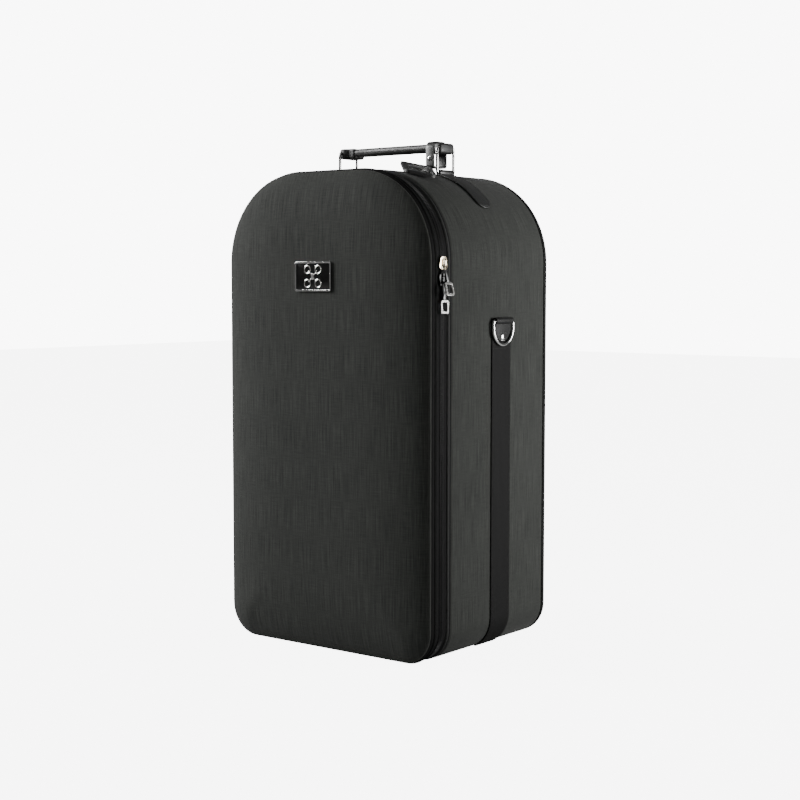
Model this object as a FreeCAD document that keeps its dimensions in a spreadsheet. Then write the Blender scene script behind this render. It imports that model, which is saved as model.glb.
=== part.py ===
"""Hard-shell drone carrying case: a deep fabric-covered tub with a zipped, crowned lid.

Frame: +Z up, -Y towards the lid, X across. The origin is on the flat underside, half way across.
Every size is in millimetres and comes from the sheet "dims".
"""
import FreeCAD, Part
import math
import os

import Sketcher

doc = FreeCAD.newDocument("drone_case")

# ----------------------------------------------------------------------------------------------
# Driving dimensions
# ----------------------------------------------------------------------------------------------
DIMENSIONS = [
    ("case_width", 305.0, "outside width, 12 inches"),
    ("case_height", 559.0, "outside height, 22 inches"),
    ("top_radius", 106.0, "arched shoulders of the outline"),
    ("bottom_radius", 40.0, "lower corners of the outline"),
    ("back_y", 122.0, "outside of the back"),
    ("zip_y", -91.0, "middle of the zip, seen from the side"),
    ("rim_gap", 14.5, "from the middle of the zip to either rim"),
    ("lid_depth", 21.0, "how far the crowned lid stands in front of its rim"),
    ("lid_run", 100.0, "how far in from the edge the crown goes on rising"),
    ("cover", 1.0, "outer fabric"),
    ("shell", 4.4, "moulded board of the tub"),
    ("lid_board", 3.4, "moulded board of the lid"),
    ("lining", 1.0, "inner fabric"),
    ("band", 2.0, "stiffening band inside the mouth"),
    ("band_front", -104.0, "front edge of the stiffening band"),
    ("band_back", -52.0, "back edge of the stiffening band"),
    ("piping", 5.0, "diameter of the corded edges"),
    ("tape_inset", 2.0, "zip tape, below the outline"),
    ("tape", 0.8, "zip tape thickness"),
    ("chain_inset", 1.1, "zip teeth, below the outline"),
    ("chain", 2.6, "zip teeth thickness"),
    ("chain_half_gap", 0.8, "from the middle of the zip to the teeth"),
    ("chain_width", 3.2, "width of one row of teeth"),
    ("gusset_low", 72.0, "lower end of the fabric hinge"),
    ("gusset_high", 438.0, "upper end of the fabric hinge"),
    ("gusset_split", 0.2, "half of the gap between the hinge's two halves"),
    ("foam_inset", 7.8, "outline of the foam layers"),
    ("foam_front", -75.0, "face of the foam"),
    ("foam_middle", 0.0, "between the two cut layers"),
    ("foam_floor", 75.0, "front of the solid back layer"),
    ("drone_z", 380.0, "centre of the drone bay"),
    ("motor_reach", 95.0, "from the bay's centre to a motor pocket, along X and Z"),
    ("motor_radius", 32.0, "motor pocket"),
    ("arm_width", 44.0, "arm channel"),
    ("hull_bay", 140.0, "side of the square bay for the drone's hull"),
    ("pad_inset", 20.0, "outline of the lid's foam pad"),
    ("pad_back", -78.0, "crest of the lid's foam pad"),
    ("strap_y", 22.0, "middle of the side straps"),
    ("strap_width", 38.0, "side strap webbing"),
    ("strap", 1.6, "side strap thickness"),
    ("strap_top", 388.0, "upper end of the side straps"),
    ("strap_wrap", 64.0, "degrees of the lower corner that the strap goes round"),
    ("dring_z", 386.0, "bar of the D-ring"),
    ("dring_wire", 3.6, "D-ring wire"),
    ("dring_half", 20.0, "half width of the D-ring, wire centre"),
    ("dring_leg", 8.0, "straight part of the D-ring's legs"),
    ("rivet_z", 367.0, "rivet under the D-ring"),
    ("rivet_shank", 3.2, "rivet shank diameter"),
    ("rivet_cap", 9.0, "rivet cap diameter"),
    ("handle_y", 20.0, "middle of the carrying handle"),
    ("ring_x", 74.0, "handle ring, from the middle of the case"),
    ("ring_wire", 3.4, "handle ring wire"),
    ("ring_half", 16.4, "half width of the handle ring, wire centre"),
    ("ring_corner", 3.0, "handle ring corner"),
    ("ring_rise", 29.6, "height of the handle ring, wire centre"),
    ("anchor_base", 1.5, "leather under the handle ring's bar"),
    ("anchor_strip", 2.6, "leather of the handle anchor"),
    ("anchor_width", 28.0, "handle anchor"),
    ("anchor_low_angle", 37.0, "lower end of the anchor on the shoulder"),
    ("anchor_high_angle", 76.0, "upper end of the anchor on the shoulder"),
    ("play", 0.3, "gap round a moving bar"),
    ("grip_end_width", 28.0, "grip at its ends"),
    ("grip_waist", 20.0, "grip in the hand"),
    ("grip_thick", 9.6, "grip thickness"),
    ("slider_width", 10.0, "zip slider"),
    ("slider_length", 15.0, "zip slider"),
    ("slider_plate", 1.4, "zip slider's upper plate"),
    ("slider_high_z", 451.5, "middle of the upper slider"),
    ("slider_low_z", 432.8, "middle of the lower slider"),
    ("pull_lean", 14.0, "degrees that the upper pull leans out over the lower slider"),
]

sheet = doc.addObject("Spreadsheet::Sheet", "dims")
for row, (alias, value, note) in enumerate(DIMENSIONS, start=1):
    sheet.set(f"A{row}", alias)
    sheet.set(f"B{row}", str(value))
    sheet.set(f"C{row}", note)
    sheet.setAlias(f"B{row}", alias)
doc.recompute()


def dim(alias):
    """A driving dimension as a number."""
    return float(getattr(sheet, alias))


# ----------------------------------------------------------------------------------------------
# Helpers: bodies, sketches and features whose sizes are bound to the sheet
# ----------------------------------------------------------------------------------------------
nodes = []


def keep(feature, label):
    """Names a finished sub-part; its label is the name of its STEP file."""
    feature.Label = label
    nodes.append(feature)
    return feature


def new_body(name):
    return doc.addObject("PartDesign::Body", name)


def new_sketch(body, name, role, offset):
    """A sketch on one of the body's own origin planes, moved along the plane's normal by an expression."""
    sketch = body.newObject("Sketcher::SketchObject", name)
    plane = [f for f in body.Origin.OriginFeatures if f.Role == role][0]
    sketch.AttachmentSupport = [(plane, "")]
    sketch.MapMode = "FlatFace"
    sketch.setExpression("AttachmentOffset.Base.z", offset)
    return sketch


def bind(sketch, kind, places, name, expression):
    """Adds a named dimension that follows an expression."""
    index = sketch.addConstraint(Sketcher.Constraint(kind, *places, evaluate(expression)))
    sketch.renameConstraint(index, name)
    sketch.setExpression(f"Constraints.{name}", expression)


def arc(centre, radius, start, end):
    circle = Part.Circle(FreeCAD.Vector(centre[0], centre[1], 0), FreeCAD.Vector(0, 0, 1), radius)
    return Part.ArcOfCircle(circle, math.radians(start), math.radians(end))


def line(start, end):
    return Part.LineSegment(FreeCAD.Vector(*start, 0), FreeCAD.Vector(*end, 0))


def add_outline(sketch, inset, name):
    """The case's outline, moved inwards: straight sides and floor, arched shoulders, rounded lower corners."""
    gap = evaluate(inset)
    half = dim("case_width") / 2 - gap
    low, high = gap, dim("case_height") - gap
    top = dim("top_radius") - gap
    corner = max(dim("bottom_radius") - gap, 6.0)
    first = sketch.GeometryCount
    sketch.addGeometry(
        [
            line((-half + corner, low), (half - corner, low)),
            arc((half - corner, low + corner), corner, -90, 0),
            line((half, low + corner), (half, high - top)),
            arc((half - top, high - top), top, 0, 90),
            line((half - top, high), (-half + top, high)),
            arc((-half + top, high - top), top, 90, 180),
            line((-half, high - top), (-half, low + corner)),
            arc((-half + corner, low + corner), corner, 180, 270),
        ],
        False,
    )
    for step in range(8):
        sketch.addConstraint(Sketcher.Constraint("Tangent", first + step, 2, first + (step + 1) % 8, 1))
    sketch.addConstraint(Sketcher.Constraint("Vertical", first + 2))
    sketch.addConstraint(Sketcher.Constraint("Horizontal", first + 4))
    sketch.addConstraint(Sketcher.Constraint("Vertical", first + 6))
    sketch.addConstraint(Sketcher.Constraint("Equal", first + 1, first + 7))
    sketch.addConstraint(Sketcher.Constraint("Equal", first + 3, first + 5))
    sketch.addConstraint(Sketcher.Constraint("Symmetric", first, 1, first, 2, -2))
    bind(sketch, "Radius", (first + 1,), f"{name}_corner", f"max(dims.bottom_radius - ({inset}); 6)")
    bind(sketch, "Radius", (first + 3,), f"{name}_shoulder", f"dims.top_radius - ({inset})")
    bind(sketch, "DistanceX", (first + 6, 1, first + 2, 1), f"{name}_width", f"dims.case_width - 2 * ({inset})")
    bind(sketch, "DistanceY", (first, 1, first + 4, 1), f"{name}_height", f"dims.case_height - 2 * ({inset})")
    bind(sketch, "DistanceY", (-1, 1, first + 4, 1), f"{name}_top", f"dims.case_height - ({inset})")


def evaluate(expression):
    """The number that an expression on the sheet stands for."""
    return float(sheet.evalExpression(expression.replace("dims.", "")))


def add_box(sketch, name, left, right, low, high):
    """A rectangle whose four sides follow expressions."""
    x0, x1, y0, y1 = (evaluate(e) for e in (left, right, low, high))
    first = sketch.GeometryCount
    corners = [(x0, y0), (x1, y0), (x1, y1), (x0, y1)]
    sketch.addGeometry([line(corners[i], corners[(i + 1) % 4]) for i in range(4)], False)
    for i in range(4):
        sketch.addConstraint(Sketcher.Constraint("Coincident", first + i, 2, first + (i + 1) % 4, 1))
        kind = "Horizontal" if i % 2 == 0 else "Vertical"
        sketch.addConstraint(Sketcher.Constraint(kind, first + i))
    bind(sketch, "DistanceX", (-1, 1, first, 1), f"{name}_left", left)
    bind(sketch, "DistanceX", (-1, 1, first, 2), f"{name}_right", right)
    bind(sketch, "DistanceY", (-1, 1, first, 1), f"{name}_low", low)
    bind(sketch, "DistanceY", (-1, 1, first + 2, 1), f"{name}_high", high)


def add_circle(sketch, name, x, y, radius):
    """A circle whose centre and radius follow expressions."""
    first = sketch.GeometryCount
    centre = FreeCAD.Vector(evaluate(x), evaluate(y), 0)
    sketch.addGeometry(Part.Circle(centre, FreeCAD.Vector(0, 0, 1), evaluate(radius)), False)
    bind(sketch, "Radius", (first,), f"{name}_radius", radius)
    bind(sketch, "DistanceX", (-1, 1, first, 3), f"{name}_x", x)
    bind(sketch, "DistanceY", (-1, 1, first, 3), f"{name}_y", y)


def pad(body, sketch, length, backwards=False, midplane=False):
    feature = body.newObject("PartDesign::Pad", sketch.Name + "_pad")
    feature.Profile = sketch
    feature.setExpression("Length", length)
    feature.Reversed = backwards
    feature.Midplane = midplane
    sketch.Visibility = False
    return feature


def pocket(body, sketch, length, backwards=False, midplane=False):
    feature = body.newObject("PartDesign::Pocket", sketch.Name + "_pocket")
    feature.Profile = sketch
    feature.setExpression("Length", length)
    feature.Reversed = backwards
    feature.Midplane = midplane
    return feature


def ring_band(name, outer, inner, front, back):
    """A band of even thickness that follows the outline, from the plane y = front to y = back."""
    body = new_body(name)
    sketch = new_sketch(body, name + "_section", "XZ_Plane", f"-({front})")
    add_outline(sketch, outer, "outer")
    add_outline(sketch, inner, "inner")
    pad(body, sketch, f"({back}) - ({front})", backwards=True)
    return body


def slab(name, inset, front, back):
    """A solid block with the case's outline, from y = front to y = back."""
    body = new_body(name)
    sketch = new_sketch(body, name + "_outline", "XZ_Plane", f"-({front})")
    add_outline(sketch, inset, "edge")
    pad(body, sketch, f"({back}) - ({front})", backwards=True)
    return body


def hollow(body, name, inset, front, back):
    """Takes the outline, moved inwards, out of a block."""
    sketch = new_sketch(body, name, "XZ_Plane", f"-({front})")
    add_outline(sketch, inset, "hollow")
    return pocket(body, sketch, f"({back}) - ({front})")


def round_edges(body, radius, choose):
    """Rounds the edges of the body's tip that the test picks."""
    doc.recompute()
    base = body.Tip
    names = [f"Edge{i}" for i, e in enumerate(base.Shape.Edges, start=1) if choose(e)]
    feature = body.newObject("PartDesign::Fillet", body.Name + "_round")
    feature.Base = (base, names)
    feature.setExpression("Radius", radius)
    return feature


def on_plane_y(edge, y):
    """True if the whole edge lies in the plane at that y."""
    box = edge.BoundBox
    return abs(box.YMin - y) < 0.01 and abs(box.YMax - y) < 0.01


def cut(base, tool, name):
    feature = doc.addObject("Part::Cut", name)
    feature.Base = base
    feature.Tool = tool
    return feature


def fuse(parts, name):
    feature = doc.addObject("Part::MultiFuse", name)
    feature.Shapes = parts
    return feature


def cylinder(name, radius, height, base, axis, angle="360"):
    """A Part cylinder that starts at base and runs along axis."""
    feature = doc.addObject("Part::Cylinder", name)
    feature.setExpression("Radius", radius)
    feature.setExpression("Height", height)
    feature.setExpression("Angle", angle)
    turn = FreeCAD.Rotation(FreeCAD.Vector(0, 0, 1), FreeCAD.Vector(*axis))
    feature.Placement = FreeCAD.Placement(FreeCAD.Vector(0, 0, 0), turn)
    for letter, expression in zip("xyz", base):
        feature.setExpression(f"Placement.Base.{letter}", expression)
    return feature


def block(name, low, size):
    """A Part box from its lowest corner and its size, as expressions."""
    feature = doc.addObject("Part::Box", name)
    for side, expression in zip(("Length", "Width", "Height"), size):
        feature.setExpression(side, expression)
    for letter, expression in zip("xyz", low):
        feature.setExpression(f"Placement.Base.{letter}", expression)
    return feature


def mirrored(source, name):
    """The same piece on the other side of the case."""
    feature = doc.addObject("Part::Mirroring", name)
    feature.Source = source
    feature.Normal = FreeCAD.Vector(1, 0, 0)
    feature.Base = FreeCAD.Vector(0, 0, 0)
    return feature


HALF = "dims.case_width / 2"
LID_RIM = "dims.zip_y - dims.rim_gap"
TUB_RIM = "dims.zip_y + dims.rim_gap"
SHELL_IN = "dims.cover + dims.shell"
LINING_IN = "dims.cover + dims.shell + dims.lining"
BACK_SEAM = "dims.back_y - dims.piping"
SHELL_BACK = "dims.back_y - dims.piping / 2"
ARCH_X = "dims.case_width / 2 - dims.top_radius"
ARCH_Z = "dims.case_height - dims.top_radius"

# ----------------------------------------------------------------------------------------------
# Rivet shanks: one set of cylinders that also bores every layer they go through
# ----------------------------------------------------------------------------------------------
RIVET_ANGLES = (50.0, 63.0)


def on_arch(radius, angle, side=1):
    """A point on a circle about the shoulder's centre, in the X-Z plane."""
    turn = math.radians(angle)
    x = dim("case_width") / 2 - dim("top_radius") + radius * math.cos(turn)
    z = dim("case_height") - dim("top_radius") + radius * math.sin(turn)
    return side * x, z


def anchor_shanks(name, radius, low, high):
    """Cylinders along the four handle rivets, from one distance to another off the outline."""
    made = []
    for side in (-1, 1):
        for angle in RIVET_ANGLES:
            turn = math.radians(angle)
            axis = (side * math.cos(turn), 0, math.sin(turn))
            x, z = on_arch(dim("top_radius") + low, angle, side)
            base = (str(x), "dims.handle_y", str(z))
            made.append(cylinder(f"{name}_{len(made)}", radius, str(high - low), base, axis))
    return made


def strap_shanks(name, radius, low, high):
    """Cylinders along the two side rivets, from one distance to another off the outline."""
    made = []
    for side in (-1, 1):
        base = (f"{side} * ({HALF} + {low})", "dims.strap_y", "dims.rivet_z")
        made.append(cylinder(f"{name}_{len(made)}", radius, str(high - low), base, (side, 0, 0)))
    return made


SHANK_R = "dims.rivet_shank / 2"
CAP_R = "dims.rivet_cap / 2"
WALL = dim("cover") + dim("shell") + dim("lining")
shanks = fuse(
    anchor_shanks("anchor_shank", SHANK_R, -WALL - 0.5, 0.5)
    + strap_shanks("strap_shank", SHANK_R, -WALL - 0.5, 2 * dim("strap")),
    "rivet_shanks",
)

# ----------------------------------------------------------------------------------------------
# The tub: shell, outer cover, back panel, piping, lining and the band that stiffens its mouth
# ----------------------------------------------------------------------------------------------
shell = slab("shell_solid", "dims.cover", TUB_RIM, SHELL_BACK)
back_plane = evaluate(SHELL_BACK)
round_edges(shell, "dims.piping + 4.5", lambda e: on_plane_y(e, back_plane))
hollow(shell, "shell_hollow", SHELL_IN, TUB_RIM, SHELL_BACK + " - dims.shell")
keep(cut(shell, shanks, "shell_bored"), "body_shell")

side_cover = ring_band("side_cover_band", "0", "dims.cover", TUB_RIM, BACK_SEAM)
keep(cut(side_cover, shanks, "side_cover_bored"), "body_cover")

back_cover = slab("back_panel", "dims.piping + 5.5", SHELL_BACK, SHELL_BACK + " + dims.cover")
keep(back_cover, "back_cover")


def piping(name, front):
    """A corded edge: a ring that follows the outline, rounded to the cord's section."""
    body = ring_band(name + "_ring", "0", "dims.piping", front, front + " + dims.piping")
    low = evaluate(front)
    high = low + dim("piping")
    round_edges(body, "dims.piping * 0.48", lambda e: on_plane_y(e, low) or on_plane_y(e, high))
    return keep(body, name)


piping("back_piping", BACK_SEAM)
piping("body_piping", TUB_RIM + " - dims.piping")
piping("lid_piping", LID_RIM)

lining = slab("lining_solid", SHELL_IN, "dims.band_back", SHELL_BACK + " - dims.shell")
hollow(lining, "lining_hollow", LINING_IN, "dims.band_back", SHELL_BACK + " - dims.shell - dims.lining")
keep(cut(lining, shanks, "lining_bored"), "body_lining")

band = ring_band("mouth_band", SHELL_IN, SHELL_IN + " + dims.band", "dims.band_front", "dims.band_back")
keep(band, "rim_band")

# ----------------------------------------------------------------------------------------------
# Foam: a solid back layer and two cut layers with the bays
# ----------------------------------------------------------------------------------------------
FOAM_BACK = SHELL_BACK + " - dims.shell - dims.lining"
BAYS = {  # left, right, low, high of each square bay in the front layer
    "controller": ("-130", "60", "130", "232"),
    "battery_a": ("-130", "-80", "22", "118"),
    "battery_b": ("-68", "-18", "22", "118"),
    "battery_c": ("-6", "44", "22", "118"),
    "charger": ("74", "130", "22", "232"),
}
keep(slab("foam_back_slab", "dims.foam_inset", "dims.foam_floor", FOAM_BACK), "foam_base")


def hull_pocket(body, front, back):
    """The square bay for the drone's hull, which goes through both cut layers."""
    sketch = new_sketch(body, body.Name + "_hull", "XZ_Plane", f"-({front})")
    side = "dims.hull_bay / 2"
    add_box(sketch, "hull", f"-{side}", side, f"dims.drone_z - {side}", f"dims.drone_z + {side}")
    return pocket(body, sketch, f"({back}) - ({front})")


rear_layer = slab("foam_rear_slab", "dims.foam_inset", "dims.foam_middle", "dims.foam_floor")
hull_pocket(rear_layer, "dims.foam_middle", "dims.foam_floor")
keep(rear_layer, "foam_rear_layer")

front_layer = slab("foam_front_slab", "dims.foam_inset", "dims.foam_front", "dims.foam_middle")
DEPTH = "dims.foam_middle - dims.foam_front"
hull_pocket(front_layer, "dims.foam_front", "dims.foam_middle")
for number, (across, up) in enumerate(((-1, -1), (1, -1), (1, 1), (-1, 1))):
    motor = new_sketch(front_layer, f"motor_{number}", "XZ_Plane", "-dims.foam_front")
    place = (f"{across} * dims.motor_reach", f"dims.drone_z + {up} * dims.motor_reach")
    add_circle(motor, "motor", *place, "dims.motor_radius")
    pocket(front_layer, motor, DEPTH)
    channel = new_sketch(front_layer, f"arm_{number}", "XZ_Plane", "-dims.foam_front")
    middle = FreeCAD.Vector(0, dim("drone_z"), 0)
    end = middle + FreeCAD.Vector(across, up, 0) * dim("motor_reach")
    start = middle + FreeCAD.Vector(across, up, 0) * (dim("hull_bay") / 4)
    side = FreeCAD.Vector(-up, across, 0).normalize() * (dim("arm_width") / 2)
    corners = [start - side, end - side, end + side, start + side]
    for i in range(4):
        channel.addGeometry(Part.LineSegment(corners[i], corners[(i + 1) % 4]), False)
    pocket(front_layer, channel, DEPTH)
for bay, sides in BAYS.items():
    sketch = new_sketch(front_layer, bay, "XZ_Plane", "-dims.foam_front")
    add_box(sketch, bay, *sides)
    pocket(front_layer, sketch, DEPTH)
keep(front_layer, "foam_front_layer")

# ----------------------------------------------------------------------------------------------
# The lid: crowned cover and board, lining and foam pad
# ----------------------------------------------------------------------------------------------
CROWN = (0.0, 0.015, 0.06, 0.16, 0.36, 0.64, 1.0)  # shares of the run where the crown has a section
CROWN_POWER = 2.2


def crown(name, skin):
    """The lid's pillow form, moved inwards by a skin's thickness: a loft through outlines that shrink as they rise."""
    body = new_body(name)
    sections = []
    for number, share in enumerate(CROWN):
        rise = (1 - (1 - share) ** CROWN_POWER) ** (1 / CROWN_POWER)
        depth = f"{rise:.6f} * (dims.lid_depth - ({skin}))"
        sketch = new_sketch(body, f"{name}_{number}", "XZ_Plane", f"-({LID_RIM}) + {depth}")
        add_outline(sketch, f"({skin}) + {share} * (dims.lid_run - ({skin}))", "edge")
        sections.append(sketch)
    loft = body.newObject("PartDesign::AdditiveLoft", name + "_loft")
    loft.Profile = sections[0]
    loft.Sections = sections[1:]
    loft.Ruled = False
    return body


BOARD_IN = "dims.cover + dims.lid_board"
LID_LINING_IN = "dims.cover + dims.lid_board + dims.lining"
forms = [crown(f"crown_{i}", skin) for i, skin in enumerate(("0", "dims.cover", BOARD_IN, LID_LINING_IN))]
PLATE_X, PLATE_Z = -5.0, 437.0
LID_FACE = f"({LID_RIM} - dims.lid_depth)"
pins = fuse(
    [
        cylinder(f"plate_pin_{i}", "1", "4", (str(PLATE_X + dx), f"{LID_FACE} + 0", str(PLATE_Z)), (0, 1, 0))
        for i, dx in enumerate((-18, 18))
    ],
    "plate_pins",
)
keep(cut(cut(forms[0], forms[1], "lid_cover_skin"), pins, "lid_cover_bored"), "lid_cover")
keep(cut(cut(forms[1], forms[2], "lid_board_skin"), pins, "lid_board_bored"), "lid_shell")
lid_lining = cut(forms[2], forms[3], "lid_lining_skin")
keep(lid_lining, "lid_lining")
pad_block = slab("pad_slab", "dims.pad_inset", LID_FACE + " + 1", "dims.pad_back")
outside = slab("pad_keep", "dims.pad_inset - 1", LID_RIM, "dims.pad_back + 1")
pad_room = fuse([forms[3], outside], "pad_room")
lid_pad = doc.addObject("Part::Common", "lid_pad_trimmed")
lid_pad.Base = pad_block
lid_pad.Tool = pad_room
keep(lid_pad, "lid_pad")

# ----------------------------------------------------------------------------------------------
# Name plate: metal frame, dark inlay and a plain raised emblem of four rotors
# ----------------------------------------------------------------------------------------------
frame_block = block(
    "plate_block", (str(PLATE_X - 27), f"{LID_FACE} - 2.4", str(PLATE_Z - 17)), ("54", "2.4", "34")
)
tray = block("plate_tray", (str(PLATE_X - 24), f"{LID_FACE} - 2.5", str(PLATE_Z - 14)), ("48", "1.7", "28"))
keep(fuse([cut(frame_block, tray, "plate_frame"), pins], "plate_whole"), "name_plate")
inlay = block("inlay_block", (str(PLATE_X - 24), f"{LID_FACE} - 1.6", str(PLATE_Z - 14)), ("48", "0.8", "28"))
keep(inlay, "plate_inlay")
EMBLEM = 7.0
rotors = [
    cut(
        cylinder(f"rotor_{i}", "4.4", "0.7", (str(PLATE_X + dx), f"{LID_FACE} - 2.3", str(PLATE_Z + dz)), (0, 1, 0)),
        cylinder(f"eye_{i}", "2.9", "0.7", (str(PLATE_X + dx), f"{LID_FACE} - 2.3", str(PLATE_Z + dz)), (0, 1, 0)),
        f"rotor_ring_{i}",
    )
    for i, (dx, dz) in enumerate(((-EMBLEM, -EMBLEM), (EMBLEM, -EMBLEM), (EMBLEM, EMBLEM), (-EMBLEM, EMBLEM)))
]
keep(fuse(rotors, "emblem_rings"), "plate_emblem")

# ----------------------------------------------------------------------------------------------
# The zip: tape and teeth on each side, open where the fabric hinge is
# ----------------------------------------------------------------------------------------------
PIPE_EDGE = "dims.rim_gap - dims.piping"
gap_block = block(
    "hinge_gap",
    (f"-{HALF} - 10", "dims.zip_y - 30", "dims.gusset_low"),
    ("20", "60", "dims.gusset_high - dims.gusset_low"),
)
SIDES = {  # node suffix: the front and back planes of the tape and of the teeth
    "lid": (
        (f"dims.zip_y - ({PIPE_EDGE})", "dims.zip_y - dims.chain_half_gap - dims.chain_width"),
        ("dims.zip_y - dims.chain_half_gap - dims.chain_width", "dims.zip_y - dims.chain_half_gap"),
    ),
    "body": (
        ("dims.zip_y + dims.chain_half_gap + dims.chain_width", f"dims.zip_y + {PIPE_EDGE}"),
        ("dims.zip_y + dims.chain_half_gap", "dims.zip_y + dims.chain_half_gap + dims.chain_width"),
    ),
}
for side, (tape_span, teeth_span) in SIDES.items():
    tape = ring_band(f"tape_{side}", "dims.tape_inset", "dims.tape_inset + dims.tape", *tape_span)
    keep(cut(tape, gap_block, f"tape_{side}_open"), f"zip_tape_{side}")
    teeth = ring_band(f"teeth_{side}", "dims.chain_inset", "dims.chain_inset + dims.chain", *teeth_span)
    stops = fuse(
        [
            block(
                f"stop_{side}_{end}",
                (f"-{HALF} - 1", teeth_span[0] + " - 1", where),
                ("dims.chain_inset + dims.chain + 3", "dims.chain_width + 2", "4"),
            )
            for end, where in (("low", "dims.gusset_low - 4"), ("high", "dims.gusset_high"))
        ],
        f"stop_room_{side}",
    )
    keep(cut(cut(teeth, gap_block, f"teeth_{side}_open"), stops, f"teeth_{side}_ended"), f"zip_chain_{side}")
    metal = fuse(
        [
            block(
                f"stop_piece_{side}_{end}",
                (f"-{HALF} + dims.chain_inset - 0.5", teeth_span[0], where),
                ("dims.chain + 1", "dims.chain_width", "4"),
            )
            for end, where in (("low", "dims.gusset_low - 4"), ("high", "dims.gusset_high"))
        ],
        f"stops_{side}",
    )
    keep(metal, f"zip_stops_{side}")

# The fabric hinge: two halves that meet on the fold, in the gap of the zip
HINGE = {
    "lid": (f"dims.zip_y - ({PIPE_EDGE})", "dims.zip_y - dims.gusset_split"),
    "body": ("dims.zip_y + dims.gusset_split", f"dims.zip_y + {PIPE_EDGE}"),
}
for side, (front, back) in HINGE.items():
    strip = block(
        f"gusset_{side}",
        (f"-{HALF} + dims.tape_inset - 0.6", front, "dims.gusset_low + 0.3"),
        ("dims.tape + 0.6", f"({back}) - ({front})", "dims.gusset_high - dims.gusset_low - 0.6"),
    )
    keep(strip, f"hinge_gusset_{side}")

# ----------------------------------------------------------------------------------------------
# Zip sliders and their pulls, on the straight right-hand side
# ----------------------------------------------------------------------------------------------
TEETH_TOP = f"({HALF} - dims.chain_inset)"
TEETH_FOOT = f"({HALF} - dims.chain_inset - dims.chain)"
BAIL_RISE = 2.8
BAIL_SPAN = 9.0


def slider(name, middle, nose):
    """A zip slider: two plates, flanges, the post in its nose and a bail for the pull.

    nose is +1 where the slider's nose points up and -1 where it points down."""
    width, length = "dims.slider_width", "dims.slider_length"
    low_z = f"{middle} - {length} / 2"
    low_y = f"dims.zip_y - {width} / 2"
    plates = [
        block(f"{name}_top", (f"{TEETH_TOP} + 0.4", low_y, low_z), ("dims.slider_plate", width, length)),
        block(f"{name}_foot", (f"{TEETH_FOOT} - 1.35", low_y, low_z), ("0.8", width, length)),
        block(
            f"{name}_post",
            (f"{TEETH_FOOT} - 0.6", "dims.zip_y - 0.4", f"{middle} + {nose} * 4.5 - 2"),
            ("dims.chain + 1.1", "0.8", "4"),
        ),
    ]
    # the flanges are on the lid's side only, so that the lid can swing with the sliders parked
    plates.append(block(f"{name}_lip", (f"{TEETH_TOP} - 0.3", low_y, low_z), ("0.8", "0.7", length)))
    plates.append(block(f"{name}_toe", (f"{TEETH_FOOT} - 0.7", low_y, low_z), ("0.9", "0.7", length)))
    top = f"{TEETH_TOP} + 0.4 + dims.slider_plate"
    foot = f"{middle} - {BAIL_SPAN / 2}"
    arch_block = block(
        f"{name}_bail_block", (f"{top} - 0.2", "dims.zip_y - 1.6", foot), (str(BAIL_RISE + 0.2), "3.2", str(BAIL_SPAN))
    )
    eye = block(
        f"{name}_eye", (f"{top} - 0.01", "dims.zip_y - 2", f"{foot} + 1.2"), ("1.9", "4", str(BAIL_SPAN - 2.4))
    )
    plates.append(cut(arch_block, eye, f"{name}_bail"))
    return keep(fuse(plates, f"{name}_whole"), name)


slider("upper_slider", "dims.slider_high_z", -1)
slider("lower_slider", "dims.slider_low_z", 1)

PULL_PIVOT_X = dim("case_width") / 2 - dim("chain_inset") + 0.4 + dim("slider_plate") + 0.95
PULL_BAR = 0.75
LINK_LENGTH = 18.0
EYE_LENGTH = 18.5


def pull(name, middle, lean):
    """A zip pull, hanging from the low end of its slider's bail: a forked link and an open end ring."""
    pivot = FreeCAD.Vector(PULL_PIVOT_X, dim("zip_y"), middle - BAIL_SPAN / 2 + 2.2)
    bar = Part.makeCylinder(PULL_BAR, 7, FreeCAD.Vector(0, -3.5, 0), FreeCAD.Vector(0, 1, 0))
    # the cheeks end in the bar's own round, so that their tops clear the slider as the pull turns
    cheeks = [Part.makeBox(1.5, 1.3, 6.25, FreeCAD.Vector(-0.75, y, -6.25)) for y in (-3.5, 2.2)]
    shank = Part.makeBox(1.5, 5, LINK_LENGTH - 5.5, FreeCAD.Vector(-0.75, -2.5, -LINK_LENGTH))
    yoke = Part.makeBox(1.5, 7, 1.5, FreeCAD.Vector(-0.75, -3.5, -6.75))
    link = bar.multiFuse([*cheeks, yoke, shank]).removeSplitter()
    outer = Part.makeBox(1.8, 11, EYE_LENGTH, FreeCAD.Vector(-0.9, -5.5, -LINK_LENGTH - EYE_LENGTH))
    outer = outer.makeFillet(2.6, [e for e in outer.Edges if e.BoundBox.XLength > 1.7 and e.BoundBox.ZMax < -LINK_LENGTH - 5])
    window = Part.makeBox(4, 6.4, EYE_LENGTH - 6.0, FreeCAD.Vector(-2, -3.2, -LINK_LENGTH - EYE_LENGTH + 2.6))
    eye = outer.cut(window)
    turn = FreeCAD.Rotation(FreeCAD.Vector(0, 1, 0), -lean)
    for suffix, shape in (("link", link), ("ring", eye)):
        feature = doc.addObject("Part::Feature", f"{name}_{suffix}_shape")
        feature.Shape = shape
        feature.Placement = FreeCAD.Placement(pivot, turn)
        keep(feature, f"{name}_{suffix}")
    return pivot


upper_pivot = pull("upper_pull", dim("slider_high_z"), dim("pull_lean"))
lower_pivot = pull("lower_pull", dim("slider_low_z"), 0.0)

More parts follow.
